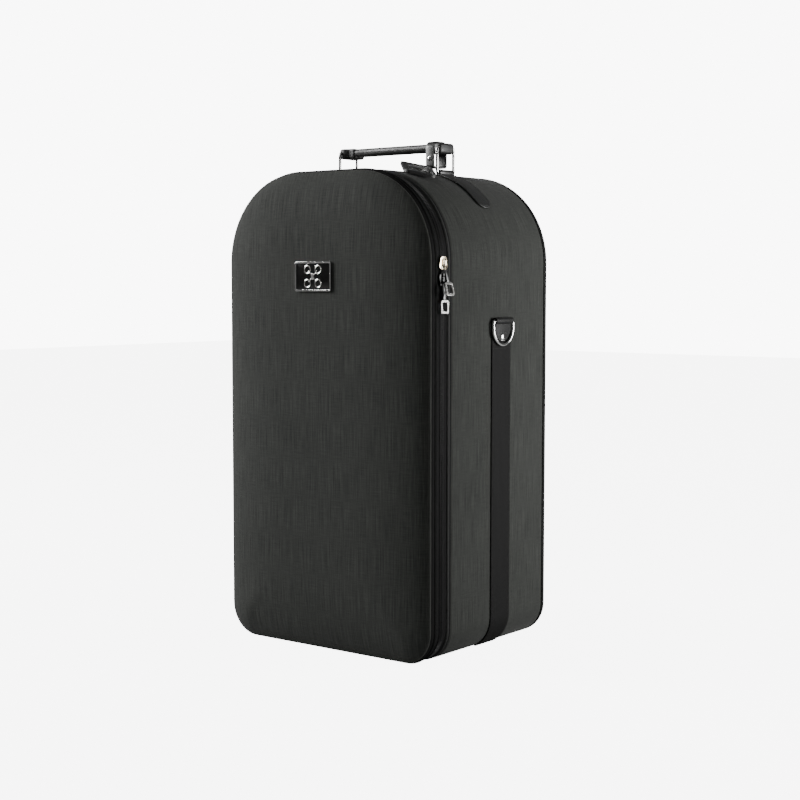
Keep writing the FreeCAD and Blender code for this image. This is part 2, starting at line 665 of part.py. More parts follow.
# ----------------------------------------------------------------------------------------------
# Side straps with their D-rings
# ----------------------------------------------------------------------------------------------
strap = new_body("strap_body")
path = new_sketch(strap, "strap_section", "XZ_Plane", "-(dims.strap_y - dims.strap_width / 2)")
radius = dim("bottom_radius")
centre = (dim("case_width") / 2 - radius, radius)
wrap = dim("strap_wrap")
half = dim("case_width") / 2
thick = dim("strap")
ends = [
    (centre[0] + r * math.cos(math.radians(-wrap)), centre[1] + r * math.sin(math.radians(-wrap)))
    for r in (radius, radius + thick)
]
path.addGeometry(
    [
        line((half, radius), (half, dim("strap_top"))),
        line((half, dim("strap_top")), (half + thick, dim("strap_top"))),
        line((half + thick, dim("strap_top")), (half + thick, radius)),
        arc(centre, radius + thick, -wrap, 0),
        line(ends[1], ends[0]),
        arc(centre, radius, -wrap, 0),
    ],
    False,
)
for first, point, second, other in ((0, 2, 1, 1), (1, 2, 2, 1), (3, 1, 4, 1), (4, 2, 5, 1)):
    path.addConstraint(Sketcher.Constraint("Coincident", first, point, second, other))
path.addConstraint(Sketcher.Constraint("Tangent", 2, 2, 3, 2))
path.addConstraint(Sketcher.Constraint("Tangent", 5, 2, 0, 1))
path.addConstraint(Sketcher.Constraint("Coincident", 3, 3, 5, 3))
path.addConstraint(Sketcher.Constraint("Vertical", 0))
path.addConstraint(Sketcher.Constraint("Horizontal", 1))
path.addConstraint(Sketcher.Constraint("PointOnObject", 3, 3, 4))
bind(path, "Radius", (5,), "corner", "dims.bottom_radius")
bind(path, "Distance", (1,), "thickness", "dims.strap")
bind(path, "DistanceX", (-1, 1, 0, 1), "side", HALF)
bind(path, "DistanceY", (-1, 1, 0, 1), "corner_top", "dims.bottom_radius")
bind(path, "DistanceY", (-1, 1, 1, 1), "top", "dims.strap_top")
bind(path, "DistanceX", (-1, 1, 4, 2), "end", f"{HALF} - dims.bottom_radius * (1 - cos(dims.strap_wrap * 1 deg))")
pad(strap, path, "dims.strap_width", backwards=True)
strap_bored = cut(strap, shanks, "strap_bored")
keep(strap_bored, "side_strap_right")
keep(mirrored(strap_bored, "strap_left"), "side_strap_left")

BAR_X = f"({HALF} + dims.strap + dims.play + dims.dring_wire / 2)"


def round_wire(name, path_edges, radius, at, normal):
    """A solid of round wire along a closed path."""
    wire = Part.Wire(Part.__sortEdges__(path_edges))
    section = Part.Wire(Part.makeCircle(radius, at, normal))
    feature = doc.addObject("Part::Feature", name)
    feature.Shape = wire.makePipeShell([section], True, True)
    return feature


def dring_shape(name):
    """The D-ring hanging down: a bar along Y, two short legs and a half circle."""
    r, leg = dim("dring_half"), dim("dring_leg")
    bend = dim("dring_wire")
    at = FreeCAD.Vector
    y, z = dim("strap_y"), dim("dring_z")
    x = evaluate(BAR_X)
    tilt = bend * (1 - math.sqrt(0.5))
    edges = [
        Part.makeLine(at(x, y - r + bend, z), at(x, y + r - bend, z)),
        Part.Arc(at(x, y + r - bend, z), at(x, y + r - tilt, z - tilt), at(x, y + r, z - bend)).toShape(),
        Part.makeLine(at(x, y + r, z - bend), at(x, y + r, z - leg)),
        Part.Arc(at(x, y + r, z - leg), at(x, y, z - leg - r), at(x, y - r, z - leg)).toShape(),
        Part.makeLine(at(x, y - r, z - leg), at(x, y - r, z - bend)),
        Part.Arc(at(x, y - r, z - bend), at(x, y - r + tilt, z - tilt), at(x, y - r + bend, z)).toShape(),
    ]
    return round_wire(name, edges, bend / 2, at(x, y - r + bend, z), at(0, 1, 0))


dring = keep(dring_shape("dring_wire_right"), "dring_right")
keep(mirrored(dring, "dring_wire_left"), "dring_left")

KEEPER_HALF = 16.0
keeper_low = "dims.strap_y - 16"
keeper_round = cylinder(
    "keeper_round", "dims.dring_wire / 2 + dims.play + dims.strap", "32", (BAR_X, keeper_low, "dims.dring_z"), (0, 1, 0)
)
bar_hole = cylinder("keeper_hole", "dims.dring_wire / 2 + dims.play", "40", (BAR_X, "dims.strap_y - 20", "dims.dring_z"), (0, 1, 0))
strap_face = f"{HALF} + dims.strap"
flap_top = block("keeper_flap", (strap_face, keeper_low, "dims.dring_z - dims.dring_leg"), ("dims.strap", "32", "dims.dring_leg"))
flap_end = cylinder("keeper_tongue", "16", "dims.strap", (strap_face, "dims.strap_y", "dims.dring_z - dims.dring_leg"), (1, 0, 0))
behind = block("keeper_behind", (f"{HALF} - 20", "dims.strap_y - 30", "dims.dring_z - 30"), ("20 + dims.strap", "60", "60"))
keeper = cut(fuse([keeper_round, flap_top, flap_end], "keeper_solid"), fuse([bar_hole, shanks, behind], "keeper_tools"), "keeper")
keep(keeper, "ring_keeper_right")
keep(mirrored(keeper, "keeper_left"), "ring_keeper_left")

DOME = 1.6


def rivet_heads(name, placed, low, high, thick):
    """Rivets: their shanks with a cap outside and a washer-shaped head inside."""
    shank = placed("shank_" + name, SHANK_R, low, high)
    cap = placed("cap_" + name, CAP_R, high, high + thick)
    head = placed("head_" + name, CAP_R, low - 0.8, low)
    return fuse(shank + cap + head, name)


keep(rivet_heads("strap_rivets_whole", strap_shanks, -WALL, 2 * dim("strap"), DOME), "strap_rivets")
# the anchors' rivets are covered: their flat heads lie in pockets under the leather
# and their inner heads stand clear of the curved lining
keep(rivet_heads("anchor_rivets_whole", anchor_shanks, -WALL - 0.15, 0.0, 0.8), "anchor_rivets")

# ----------------------------------------------------------------------------------------------
# Carrying handle: leather anchors, wire rings and the padded grip with its steel core
# ----------------------------------------------------------------------------------------------
RING_OFF = "(dims.top_radius + dims.anchor_base + dims.play + dims.ring_wire / 2)"
ring_off = evaluate(RING_OFF)
ring_angle = math.degrees(math.acos((dim("ring_x") - (dim("case_width") / 2 - dim("top_radius"))) / ring_off))
ring_low_z = on_arch(ring_off, ring_angle)[1]
ring_high_z = ring_low_z + dim("ring_rise")
anchor_y = "dims.handle_y - dims.anchor_width / 2"
turned = FreeCAD.Rotation(FreeCAD.Vector(1, 0, 0), 90)


def sector(name, radius, first, last, front, width):
    """A slice of a cylinder about the right shoulder's centre, between two angles above the X axis."""
    feature = doc.addObject("Part::Cylinder", name)
    feature.setExpression("Radius", radius)
    feature.setExpression("Height", width)
    feature.setExpression("Angle", f"{last} - {first}")
    lift = FreeCAD.Rotation(FreeCAD.Vector(0, 1, 0), -evaluate(first))
    feature.Placement = FreeCAD.Placement(FreeCAD.Vector(0, 0, 0), lift.multiply(turned))
    feature.setExpression("Placement.Base.x", ARCH_X)
    feature.setExpression("Placement.Base.y", f"{front} + {width}")
    feature.setExpression("Placement.Base.z", ARCH_Z)
    return feature


strip_outer = sector(
    "anchor_outer", "dims.top_radius + dims.anchor_strip", "dims.anchor_low_angle", "dims.anchor_high_angle", anchor_y, "dims.anchor_width"
)
loop = cylinder(
    "anchor_loop", "dims.ring_wire / 2 + dims.play + 1.7", "dims.anchor_width", (str(dim("ring_x")), anchor_y, str(ring_low_z)), (0, 1, 0)
)
seat = cylinder("anchor_seat", "dims.top_radius", "dims.anchor_width + 20", (ARCH_X, f"{anchor_y} - 10", ARCH_Z), (0, 1, 0))
eye = cylinder(
    "anchor_eye", "dims.ring_wire / 2 + dims.play", "dims.anchor_width + 20", (str(dim("ring_x")), f"{anchor_y} - 10", str(ring_low_z)), (0, 1, 0)
)
pockets = fuse(anchor_shanks("anchor_sunk", CAP_R, -0.4, 0.8), "rivet_pockets")
anchor_shaped = cut(cut(fuse([strip_outer, loop], "anchor_solid"), seat, "anchor_seated"), eye, "anchor_eyed")
anchor = cut(anchor_shaped, pockets, "anchor")
keep(anchor, "anchor_right")
keep(mirrored(anchor, "anchor_mirror"), "anchor_left")


def handle_ring(name):
    """A rectangular wire ring in a plane across the handle."""
    at = FreeCAD.Vector
    x, y = dim("ring_x"), dim("handle_y")
    w, r = dim("ring_half"), dim("ring_corner")
    low, high = ring_low_z, ring_high_z
    k = r * (1 - math.sqrt(0.5))
    edges = [
        Part.makeLine(at(x, y - w + r, low), at(x, y + w - r, low)),
        Part.Arc(at(x, y + w - r, low), at(x, y + w - k, low + k), at(x, y + w, low + r)).toShape(),
        Part.makeLine(at(x, y + w, low + r), at(x, y + w, high - r)),
        Part.Arc(at(x, y + w, high - r), at(x, y + w - k, high - k), at(x, y + w - r, high)).toShape(),
        Part.makeLine(at(x, y + w - r, high), at(x, y - w + r, high)),
        Part.Arc(at(x, y - w + r, high), at(x, y - w + k, high - k), at(x, y - w, high - r)).toShape(),
        Part.makeLine(at(x, y - w, high - r), at(x, y - w, low + r)),
        Part.Arc(at(x, y - w, low + r), at(x, y - w + k, low + k), at(x, y - w + r, low)).toShape(),
    ]
    return round_wire(name, edges, dim("ring_wire") / 2, at(x, y - w + r, low), at(0, 1, 0))


ring = keep(handle_ring("ring_wire_right"), "handle_ring_right")
keep(mirrored(ring, "ring_wire_left"), "handle_ring_left")

grip = new_body("grip_body")
plan = new_sketch(grip, "grip_plan", "XY_Plane", f"{ring_high_z} - dims.grip_thick / 2")
end_x, flare_x, waist_x = dim("ring_x") + 3.6, 70.0, 66.0
wide, waist = dim("grip_end_width") / 2, dim("grip_waist") / 2
plan_points = [
    (end_x, -wide), (end_x, wide), (flare_x, wide), (waist_x, waist),
    (-waist_x, waist), (-flare_x, wide), (-end_x, wide), (-end_x, -wide),
    (-flare_x, -wide), (-waist_x, -waist), (waist_x, -waist), (flare_x, -wide),
]
plan_points = [(x, y + dim("handle_y")) for x, y in plan_points]
plan.addGeometry([line(plan_points[i], plan_points[(i + 1) % 12]) for i in range(12)], False)
for i in range(12):
    plan.addConstraint(Sketcher.Constraint("Coincident", i, 2, (i + 1) % 12, 1))
pad(grip, plan, "dims.grip_thick")
round_edges(grip, "3.6", lambda e: e.BoundBox.ZLength < 0.01)
core_room = block(
    "core_room", ("-62", "dims.handle_y - 6", f"{ring_high_z} - 1"), ("124", "12", "2")
)
bar_rooms = [
    cylinder(
        f"grip_eye_{side + 1}", "dims.ring_wire / 2 + dims.play", "60",
        (f"{side} * dims.ring_x", "dims.handle_y - 30", str(ring_high_z)), (0, 1, 0),
    )
    for side in (-1, 1)
]
keep(cut(grip, fuse([core_room, *bar_rooms], "grip_tools"), "grip_bored"), "handle_grip")
keep(block("grip_core_bar", ("-62", "dims.handle_y - 6", f"{ring_high_z} - 1"), ("124", "12", "2")), "grip_core")

# ----------------------------------------------------------------------------------------------
# Luggage tag: leather loop over the grip, and the tag that lies on the shoulder
# ----------------------------------------------------------------------------------------------
TAG_X, TAG_STRAP_WIDTH, TAG_LEATHER = 61.0, 12.0, 1.8
LOOP_IN_HALF, LOOP_TOP, LOOP_LOW = 11.4, dim("grip_thick") / 2 + 0.9, -22.0
loop_outer = block(
    "tag_loop_outer",
    (str(TAG_X - TAG_STRAP_WIDTH / 2), f"dims.handle_y - {LOOP_IN_HALF + TAG_LEATHER}", str(ring_high_z + LOOP_LOW - TAG_LEATHER)),
    (str(TAG_STRAP_WIDTH), str(2 * (LOOP_IN_HALF + TAG_LEATHER)), str(LOOP_TOP - LOOP_LOW + 2 * TAG_LEATHER)),
)
loop_inner = block(
    "tag_loop_inner",
    (str(TAG_X - TAG_STRAP_WIDTH), f"dims.handle_y - {LOOP_IN_HALF}", str(ring_high_z + LOOP_LOW)),
    (str(2 * TAG_STRAP_WIDTH), str(2 * LOOP_IN_HALF), str(LOOP_TOP - LOOP_LOW)),
)
loop_ring = cut(loop_outer, loop_inner, "tag_loop")

TAG_LENGTH, TAG_WIDTH, TAG_THICK = 64.0, 38.0, 3.6
TAG_HINGE = FreeCAD.Vector(50.0, -6.0, 568.0)
TAG_TURN = FreeCAD.Rotation(-48.0, 13.2, -11.0)  # the tag's heading, drop and tilt, in degrees


def tag_piece(name, length, width, thick, start, lift, side=0.0):
    """A flat piece of the tag, in the tag's own frame: length along its x, thickness along its z."""
    shape = Part.makeBox(length, width, thick, FreeCAD.Vector(start, side - width / 2, lift))
    corners = [e for e in shape.Edges if e.BoundBox.ZLength > thick * 0.9]
    feature = doc.addObject("Part::Feature", name)
    feature.Shape = shape.makeFillet(min(5.0, width * 0.2), corners)
    feature.Placement = FreeCAD.Placement(TAG_HINGE, TAG_TURN)
    return feature


tongue = tag_piece("tag_tongue", 5.6, TAG_STRAP_WIDTH, TAG_LEATHER, -5.9, -0.9, 11.0)
keep(fuse([loop_ring, tongue], "tag_strap_whole"), "tag_strap")
card_room = tag_piece("tag_card_room", TAG_LENGTH - 20, TAG_WIDTH - 14, 0.6, 13, -0.2)
window_room = tag_piece("tag_window_room", TAG_LENGTH - 24, TAG_WIDTH - 18, TAG_THICK / 2 + 0.1, 15, 0.4)
leather = tag_piece("tag_leather", TAG_LENGTH, TAG_WIDTH, TAG_THICK, 1.2, -TAG_THICK / 2)
keep(cut(leather, fuse([card_room, window_room], "tag_rooms"), "tag_cut"), "tag_body")
keep(tag_piece("tag_card_sheet", TAG_LENGTH - 20, TAG_WIDTH - 14, 0.6, 13, -0.2), "tag_card")
keep(tag_piece("tag_window_pane", TAG_LENGTH - 24, TAG_WIDTH - 18, 0.6, 15, 0.4), "tag_window")

# ----------------------------------------------------------------------------------------------
# Check and write
# ----------------------------------------------------------------------------------------------
doc.recompute()
faults = [o.Name for o in doc.Objects if "Invalid" in o.State or "Error" in o.State]
if faults:
    raise SystemExit(f"failed objects: {faults}")
os.makedirs("parts", exist_ok=True)
for node in nodes:
    shape = node.Shape
    if shape.isNull() or not shape.isValid() or shape.Volume <= 0:
        raise SystemExit(f"bad shape: {node.Label}")
    shape.exportStep(f"parts/{node.Label}.step")
    print(f"{node.Label:22s} solids {len(shape.Solids)} volume {shape.Volume / 1000:9.2f} cm3")
print("handle ring axis", dim("ring_x"), dim("handle_y"), round(ring_low_z, 3), "to", round(ring_high_z, 3))
print("pull pivots", upper_pivot, lower_pivot)
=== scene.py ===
"""Drone carrying case, dressed: heathered cloth on a moulded shell, zip, leather handle, tag and foam bays."""
import logging
import math
from collections.abc import Callable, Iterable, Iterator
from contextlib import contextmanager
from dataclasses import dataclass, field
from enum import Enum

import bmesh
import bpy
from mathutils import Matrix, Vector


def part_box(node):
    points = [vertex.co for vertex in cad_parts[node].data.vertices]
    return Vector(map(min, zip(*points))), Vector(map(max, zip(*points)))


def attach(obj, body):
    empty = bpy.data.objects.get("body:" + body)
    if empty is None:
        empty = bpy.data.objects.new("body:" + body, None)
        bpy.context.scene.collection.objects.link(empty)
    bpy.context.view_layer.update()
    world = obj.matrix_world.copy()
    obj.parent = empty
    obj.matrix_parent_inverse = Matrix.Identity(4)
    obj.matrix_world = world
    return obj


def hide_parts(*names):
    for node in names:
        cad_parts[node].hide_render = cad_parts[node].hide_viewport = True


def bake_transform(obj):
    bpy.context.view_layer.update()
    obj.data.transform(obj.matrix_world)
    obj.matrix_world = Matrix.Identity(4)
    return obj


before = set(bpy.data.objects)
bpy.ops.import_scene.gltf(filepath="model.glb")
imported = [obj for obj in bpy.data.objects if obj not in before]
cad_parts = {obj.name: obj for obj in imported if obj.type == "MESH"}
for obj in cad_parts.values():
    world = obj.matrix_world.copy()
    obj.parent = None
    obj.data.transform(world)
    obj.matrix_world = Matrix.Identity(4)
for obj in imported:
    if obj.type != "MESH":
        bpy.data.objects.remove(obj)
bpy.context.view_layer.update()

LOG = logging.getLogger("case")
MM = 0.001
UPRIGHT = Matrix.Rotation(math.pi / 2, 4, "X")
SIDE_ON = Matrix.Rotation(math.pi / 2, 4, "Z") @ UPRIGHT
VECTOR, NUMBER = "NodeSocketVector", "NodeSocketFloat"


class Body(Enum):
    """The bodies that pieces ride on."""

    CASE = "case"
    LID = "lid"
    SLIDER_UPPER = "slider_upper"
    SLIDER_LOWER = "slider_lower"
    PULL_UPPER = "pull_upper"
    PULL_LOWER = "pull_lower"
    RING_LEFT = "ring_left"
    RING_RIGHT = "ring_right"
    GRIP = "grip"
    DRING_RIGHT = "dring_r"
    DRING_LEFT = "dring_l"
    TAG_LOOP = "tag_loop"
    TAG = "tag"


class Side(Enum):
    """The two sides of the case, as a sign along X."""

    LEFT = -1
    RIGHT = 1


# ---------------------------------------------------------------------------------------------
# The workbench: operators on chosen objects only
# ---------------------------------------------------------------------------------------------
class Bench:
    """Selection, edit mode, modifiers and the other hand work on meshes."""

    @staticmethod
    def pick(*objects: bpy.types.Object) -> None:
        """Selects these objects and nothing else, in object mode.

        Args:
            objects: The objects; the first becomes active.
        """
        if bpy.context.object and bpy.context.object.mode != "OBJECT":
            bpy.ops.object.mode_set(mode="OBJECT")
        bpy.ops.object.select_all(action="DESELECT")
        for piece in objects:
            piece.select_set(True)
        if objects:
            bpy.context.view_layer.objects.active = objects[0]

    @staticmethod
    def take(name: str) -> bpy.types.Object:
        """Names the primitive that was just added and sets its place into its mesh.

        Args:
            name: The piece's name.

        Returns:
            The new object, at the origin.
        """
        piece = bpy.context.active_object
        piece.name = name
        piece.data.name = name
        bpy.ops.object.transform_apply(location=True, rotation=True, scale=True)
        return piece

    @staticmethod
    @contextmanager
    def editing(piece: bpy.types.Object, mode: str = "VERT") -> Iterator[bmesh.types.BMesh]:
        """Edit mode on one object, with nothing selected at first.

        Args:
            piece: The object.
            mode: VERT, EDGE or FACE selection.

        Yields:
            The mesh under edit.
        """
        Bench.pick(piece)
        bpy.ops.object.mode_set(mode="EDIT")
        bpy.ops.mesh.select_mode(type=mode)
        bpy.ops.mesh.select_all(action="DESELECT")
        yield bmesh.from_edit_mesh(piece.data)
        bpy.ops.object.mode_set(mode="OBJECT")

    @staticmethod
    def choose(piece: bpy.types.Object, kind: str, test: Callable[[Vector], bool]) -> None:
        """Selects the vertices or faces whose middle passes a test, in edit mode.

        Args:
            piece: The object under edit.
            kind: verts or faces.
            test: Says whether a middle point is wanted.
        """
        mesh = bmesh.from_edit_mesh(piece.data)
        for item in getattr(mesh, kind):
            item.select_set(bool(test(item.co if kind == "verts" else item.calc_center_median())))
        mesh.select_flush_mode()
        bmesh.update_edit_mesh(piece.data)

    @staticmethod
    def apply(piece: bpy.types.Object, kind: str, **settings: object) -> bpy.types.Object:
        """Adds a modifier and applies it.

        Args:
            piece: The object.
            kind: The modifier's type.
            settings: Its properties.

        Returns:
            The same object.
        """
        Bench.pick(piece)
        modifier = piece.modifiers.new(kind.lower(), kind)
        for key, value in settings.items():
            setattr(modifier, key, value)
        bpy.ops.object.modifier_apply(modifier=modifier.name)
        return piece

    @staticmethod
    def join(name: str, *pieces: bpy.types.Object) -> bpy.types.Object:
        """Joins pieces into one object with this name."""
        Bench.pick(*pieces)
        if len(pieces) > 1:
            bpy.ops.object.join()
        piece = bpy.context.view_layer.objects.active
        piece.name = name
        piece.data.name = name
        return piece

    @staticmethod
    def close(piece: bpy.types.Object, distance: float = 0.00002) -> bpy.types.Object:
        """Merges doubled vertices and points the faces outwards."""
        with Bench.editing(piece):
            bpy.ops.mesh.select_all(action="SELECT")
            bpy.ops.mesh.remove_doubles(threshold=distance)
            bpy.ops.mesh.normals_make_consistent(inside=False)
        return piece

    @staticmethod
    def outwards(piece: bpy.types.Object) -> bpy.types.Object:
        """Points a piece's faces outwards."""
        with Bench.editing(piece):
            bpy.ops.mesh.select_all(action="SELECT")
            bpy.ops.mesh.normals_make_consistent(inside=False)
        return piece

    @staticmethod
    def smooth(piece: bpy.types.Object, angle: float = 40.0) -> bpy.types.Object:
        """Shades a piece smooth, with creases above an angle in degrees."""
        Bench.pick(piece)
        bpy.ops.object.shade_smooth_by_angle(angle=math.radians(angle))
        return piece

    @staticmethod
    def place(piece: bpy.types.Object, matrix: Matrix) -> bpy.types.Object:
        """Moves a piece and sets the move into its mesh."""
        Bench.pick(piece)
        piece.matrix_world = matrix
        bpy.context.view_layer.update()
        bpy.ops.object.transform_apply(location=True, rotation=True, scale=True)
        return piece

    @staticmethod
    def flat_uv(piece: bpy.types.Object, across: int = 0, up: int = 1) -> bpy.types.Object:
        """Lays a UV map in metres over a flat piece, from two of its coordinates.

        Args:
            piece: The object.
            across: Index of the coordinate used as U.
            up: Index of the coordinate used as V.

        Returns:
            The same object.
        """
        mesh = piece.data
        layer = mesh.uv_layers.get("UVMap") or mesh.uv_layers.new(name="UVMap")
        for loop in mesh.loops:
            spot = mesh.vertices[loop.vertex_index].co
            layer.data[loop.index].uv = (spot[across], spot[up])
        return piece

    @staticmethod
    def grid(name: str, length: float, width: float, columns: int, rows: int) -> bpy.types.Object:
        """A flat strip in the XY plane, centred on the origin."""
        Bench.pick()
        bpy.ops.mesh.primitive_grid_add(x_subdivisions=columns, y_subdivisions=rows, size=1)
        bpy.context.active_object.scale = (length, width, 1)
        return Bench.take(name)

    @staticmethod
    def box(name: str, size: tuple[float, float, float], centre: tuple[float, float, float] = (0, 0, 0),
            bevel: float = 0.0, segments: int = 2) -> bpy.types.Object:
        """A block with rounded edges.

        Args:
            name: The piece's name.
            size: Its three sides.
            centre: Its middle.
            bevel: How much its edges are rounded.
            segments: Facets across a rounded edge.

        Returns:
            The block.
        """
        Bench.pick()
        bpy.ops.mesh.primitive_cube_add(size=1, location=centre)
        bpy.context.active_object.scale = size
        piece = Bench.take(name)
        if bevel:
            with Bench.editing(piece, "EDGE"):
                bpy.ops.mesh.select_all(action="SELECT")
                bpy.ops.mesh.bevel(offset=bevel, segments=segments, profile=0.5)
        return piece

    @staticmethod
    def loop(name: str, width: float, height: float, top: float, bottom: float, steps: int = 8,
             filled: bool = False) -> bpy.types.Object:
        """A rounded rectangle in the XY plane, centred on the origin.

        Args:
            name: The piece's name.
            width: Its size along X.
            height: Its size along Y.
            top: Radius of the two corners at +Y.
            bottom: Radius of the two corners at -Y.
            steps: Facets in each corner.
            filled: Keeps the face; otherwise only the edges stay.

        Returns:
            The object.
        """
        Bench.pick()
        bpy.ops.mesh.primitive_plane_add(size=1)
        bpy.context.active_object.scale = (width, height, 1)
        piece = Bench.take(name)
        with Bench.editing(piece):
            for radius, sign in ((top, 1), (bottom, -1)):
                Bench.choose(piece, "verts", lambda spot: spot.y * sign > height * 0.4999)
                bpy.ops.mesh.bevel(offset=radius, offset_type="OFFSET", segments=steps, affect="VERTICES")
            bpy.ops.mesh.select_all(action="SELECT")
            bpy.ops.mesh.remove_doubles(threshold=0.00001)
            if not filled:
                bpy.ops.mesh.delete(type="ONLY_FACE")
        return piece

    @staticmethod
    def wire(loop: bpy.types.Object, radius: float, facets: int = 4) -> bpy.types.Object:
        """Turns a loop of edges into round wire."""
        Bench.pick(loop)
        bpy.ops.object.convert(target="CURVE")
        curve = bpy.context.active_object
        curve.data.bevel_depth = radius
        curve.data.bevel_resolution = facets
        bpy.ops.object.convert(target="MESH")
        piece = Bench.close(bpy.context.active_object)
        return Bench.smooth(piece, 60)

    @staticmethod
    def plate(name: str, width: float, height: float, thick: float, radius: float, bevel: float,
              steps: int = 6) -> bpy.types.Object:
        """A flat plate with rounded corners and softened edges, from z = 0 up."""
        piece = Bench.loop(name, width, height, radius, radius, steps, filled=True)
        Bench.thicken(piece, thick)
        return Bench.smooth(Bench.soften(piece, bevel, 3, 50))

    @staticmethod
    def thicken(piece: bpy.types.Object, thick: float) -> bpy.types.Object:
        """Pulls a flat face up along Z into a solid."""
        with Bench.editing(piece, "FACE"):
            bpy.ops.mesh.select_all(action="SELECT")
            bpy.ops.mesh.extrude_region_move(TRANSFORM_OT_translate={"value": (0, 0, thick)})
            bpy.ops.mesh.select_all(action="SELECT")
            bpy.ops.mesh.normals_make_consistent(inside=False)
        return piece

    @staticmethod
    def soften(piece: bpy.types.Object, width: float, segments: int = 2, angle: float = 60) -> bpy.types.Object:
        """Rounds the edges that are sharper than an angle in degrees."""
        if width:
            Bench.apply(piece, "BEVEL", width=width, segments=segments, limit_method="ANGLE",
                        angle_limit=math.radians(angle))
        return piece

    @staticmethod
    def divide(piece: bpy.types.Object, stations: Iterable[float]) -> bpy.types.Object:
        """Cuts new edges across a piece at stations along X."""
        with Bench.editing(piece):
            for x in stations:
                bpy.ops.mesh.select_all(action="SELECT")
                bpy.ops.mesh.bisect(plane_co=(x, 0, 0), plane_no=(1, 0, 0))
        return piece

    @staticmethod
    def flip(piece: bpy.types.Object) -> bpy.types.Object:
        """Mirrors a piece to the other side of the case."""
        return Bench.outwards(Bench.place(piece, Matrix.Scale(-1, 4, (1, 0, 0))))

    @staticmethod
    def dome(name: str, radius: float, flat: float, facets: tuple[int, int]) -> bpy.types.Object:
        """A low dome on the XY plane.

        Args:
            name: The piece's name.
            radius: Its radius.
            flat: Its height as a share of the radius.
            facets: Facets round it, and from pole to pole.

        Returns:
            The dome, closed underneath.
        """
        Bench.pick()
        bpy.ops.mesh.primitive_uv_sphere_add(segments=facets[0], ring_count=facets[1], radius=radius)
        piece = Bench.take(name)
        with Bench.editing(piece):
            bpy.ops.mesh.select_all(action="SELECT")
            bpy.ops.mesh.bisect(plane_co=(0, 0, 0), plane_no=(0, 0, 1), clear_inner=True, use_fill=True)
            bpy.ops.mesh.select_all(action="SELECT")
            bpy.ops.transform.resize(value=(1, 1, flat), center_override=(0, 0, 0))
        return piece

    @staticmethod
    def rail(name: str, size: tuple[float, float], steps: tuple[int, int]) -> bpy.types.Object:
        """A straight sewing line: the near edge of a very narrow strip.

        Args:
            name: The piece's name.
            size: The strip's sides along X and Y; the shorter one is its width.
            steps: Divisions along X and Y.

        Returns:
            The line.
        """
        piece = Bench.grid(name, *size, *steps)
        axis = 0 if size[0] < size[1] else 1
        with Bench.editing(piece):
            Bench.choose(piece, "verts", lambda spot: spot[axis] > 0)
            bpy.ops.mesh.delete(type="VERT")
        return piece

    @staticmethod
    def sew(name: str, loop: bpy.types.Object, pitch: float = 3.4 * MM, thread: float = 0.6 * MM) -> bpy.types.Object:
        """Lays a row of thread stitches along a loop or line of edges, which it uses up.

        Args:
            name: The piece's name.
            loop: The sewing line.
            pitch: From one stitch to the next.
            thread: The thread's thickness.

        Returns:
            The stitches as one piece.
        """
        Bench.pick(loop)
        bpy.ops.object.convert(target="CURVE")
        path = bpy.context.active_object
        path.data.use_path_clamp = False
        Bench.pick()
        bpy.ops.mesh.primitive_uv_sphere_add(segments=6, ring_count=4, radius=0.5, rotation=(0, math.pi / 2, 0),
                                             location=(pitch / 2, 0, 0))
        bpy.context.active_object.scale = (thread, thread, pitch * 0.78)
        stitch = Bench.take(name)
        Bench.apply(stitch, "ARRAY", fit_type="FIT_CURVE", curve=path, use_relative_offset=False,
                    use_constant_offset=True, constant_offset_displace=(pitch, 0, 0))
        Bench.apply(stitch, "CURVE", object=path, deform_axis="POS_X")
        bpy.data.objects.remove(path)
        return Bench.smooth(stitch, 80)


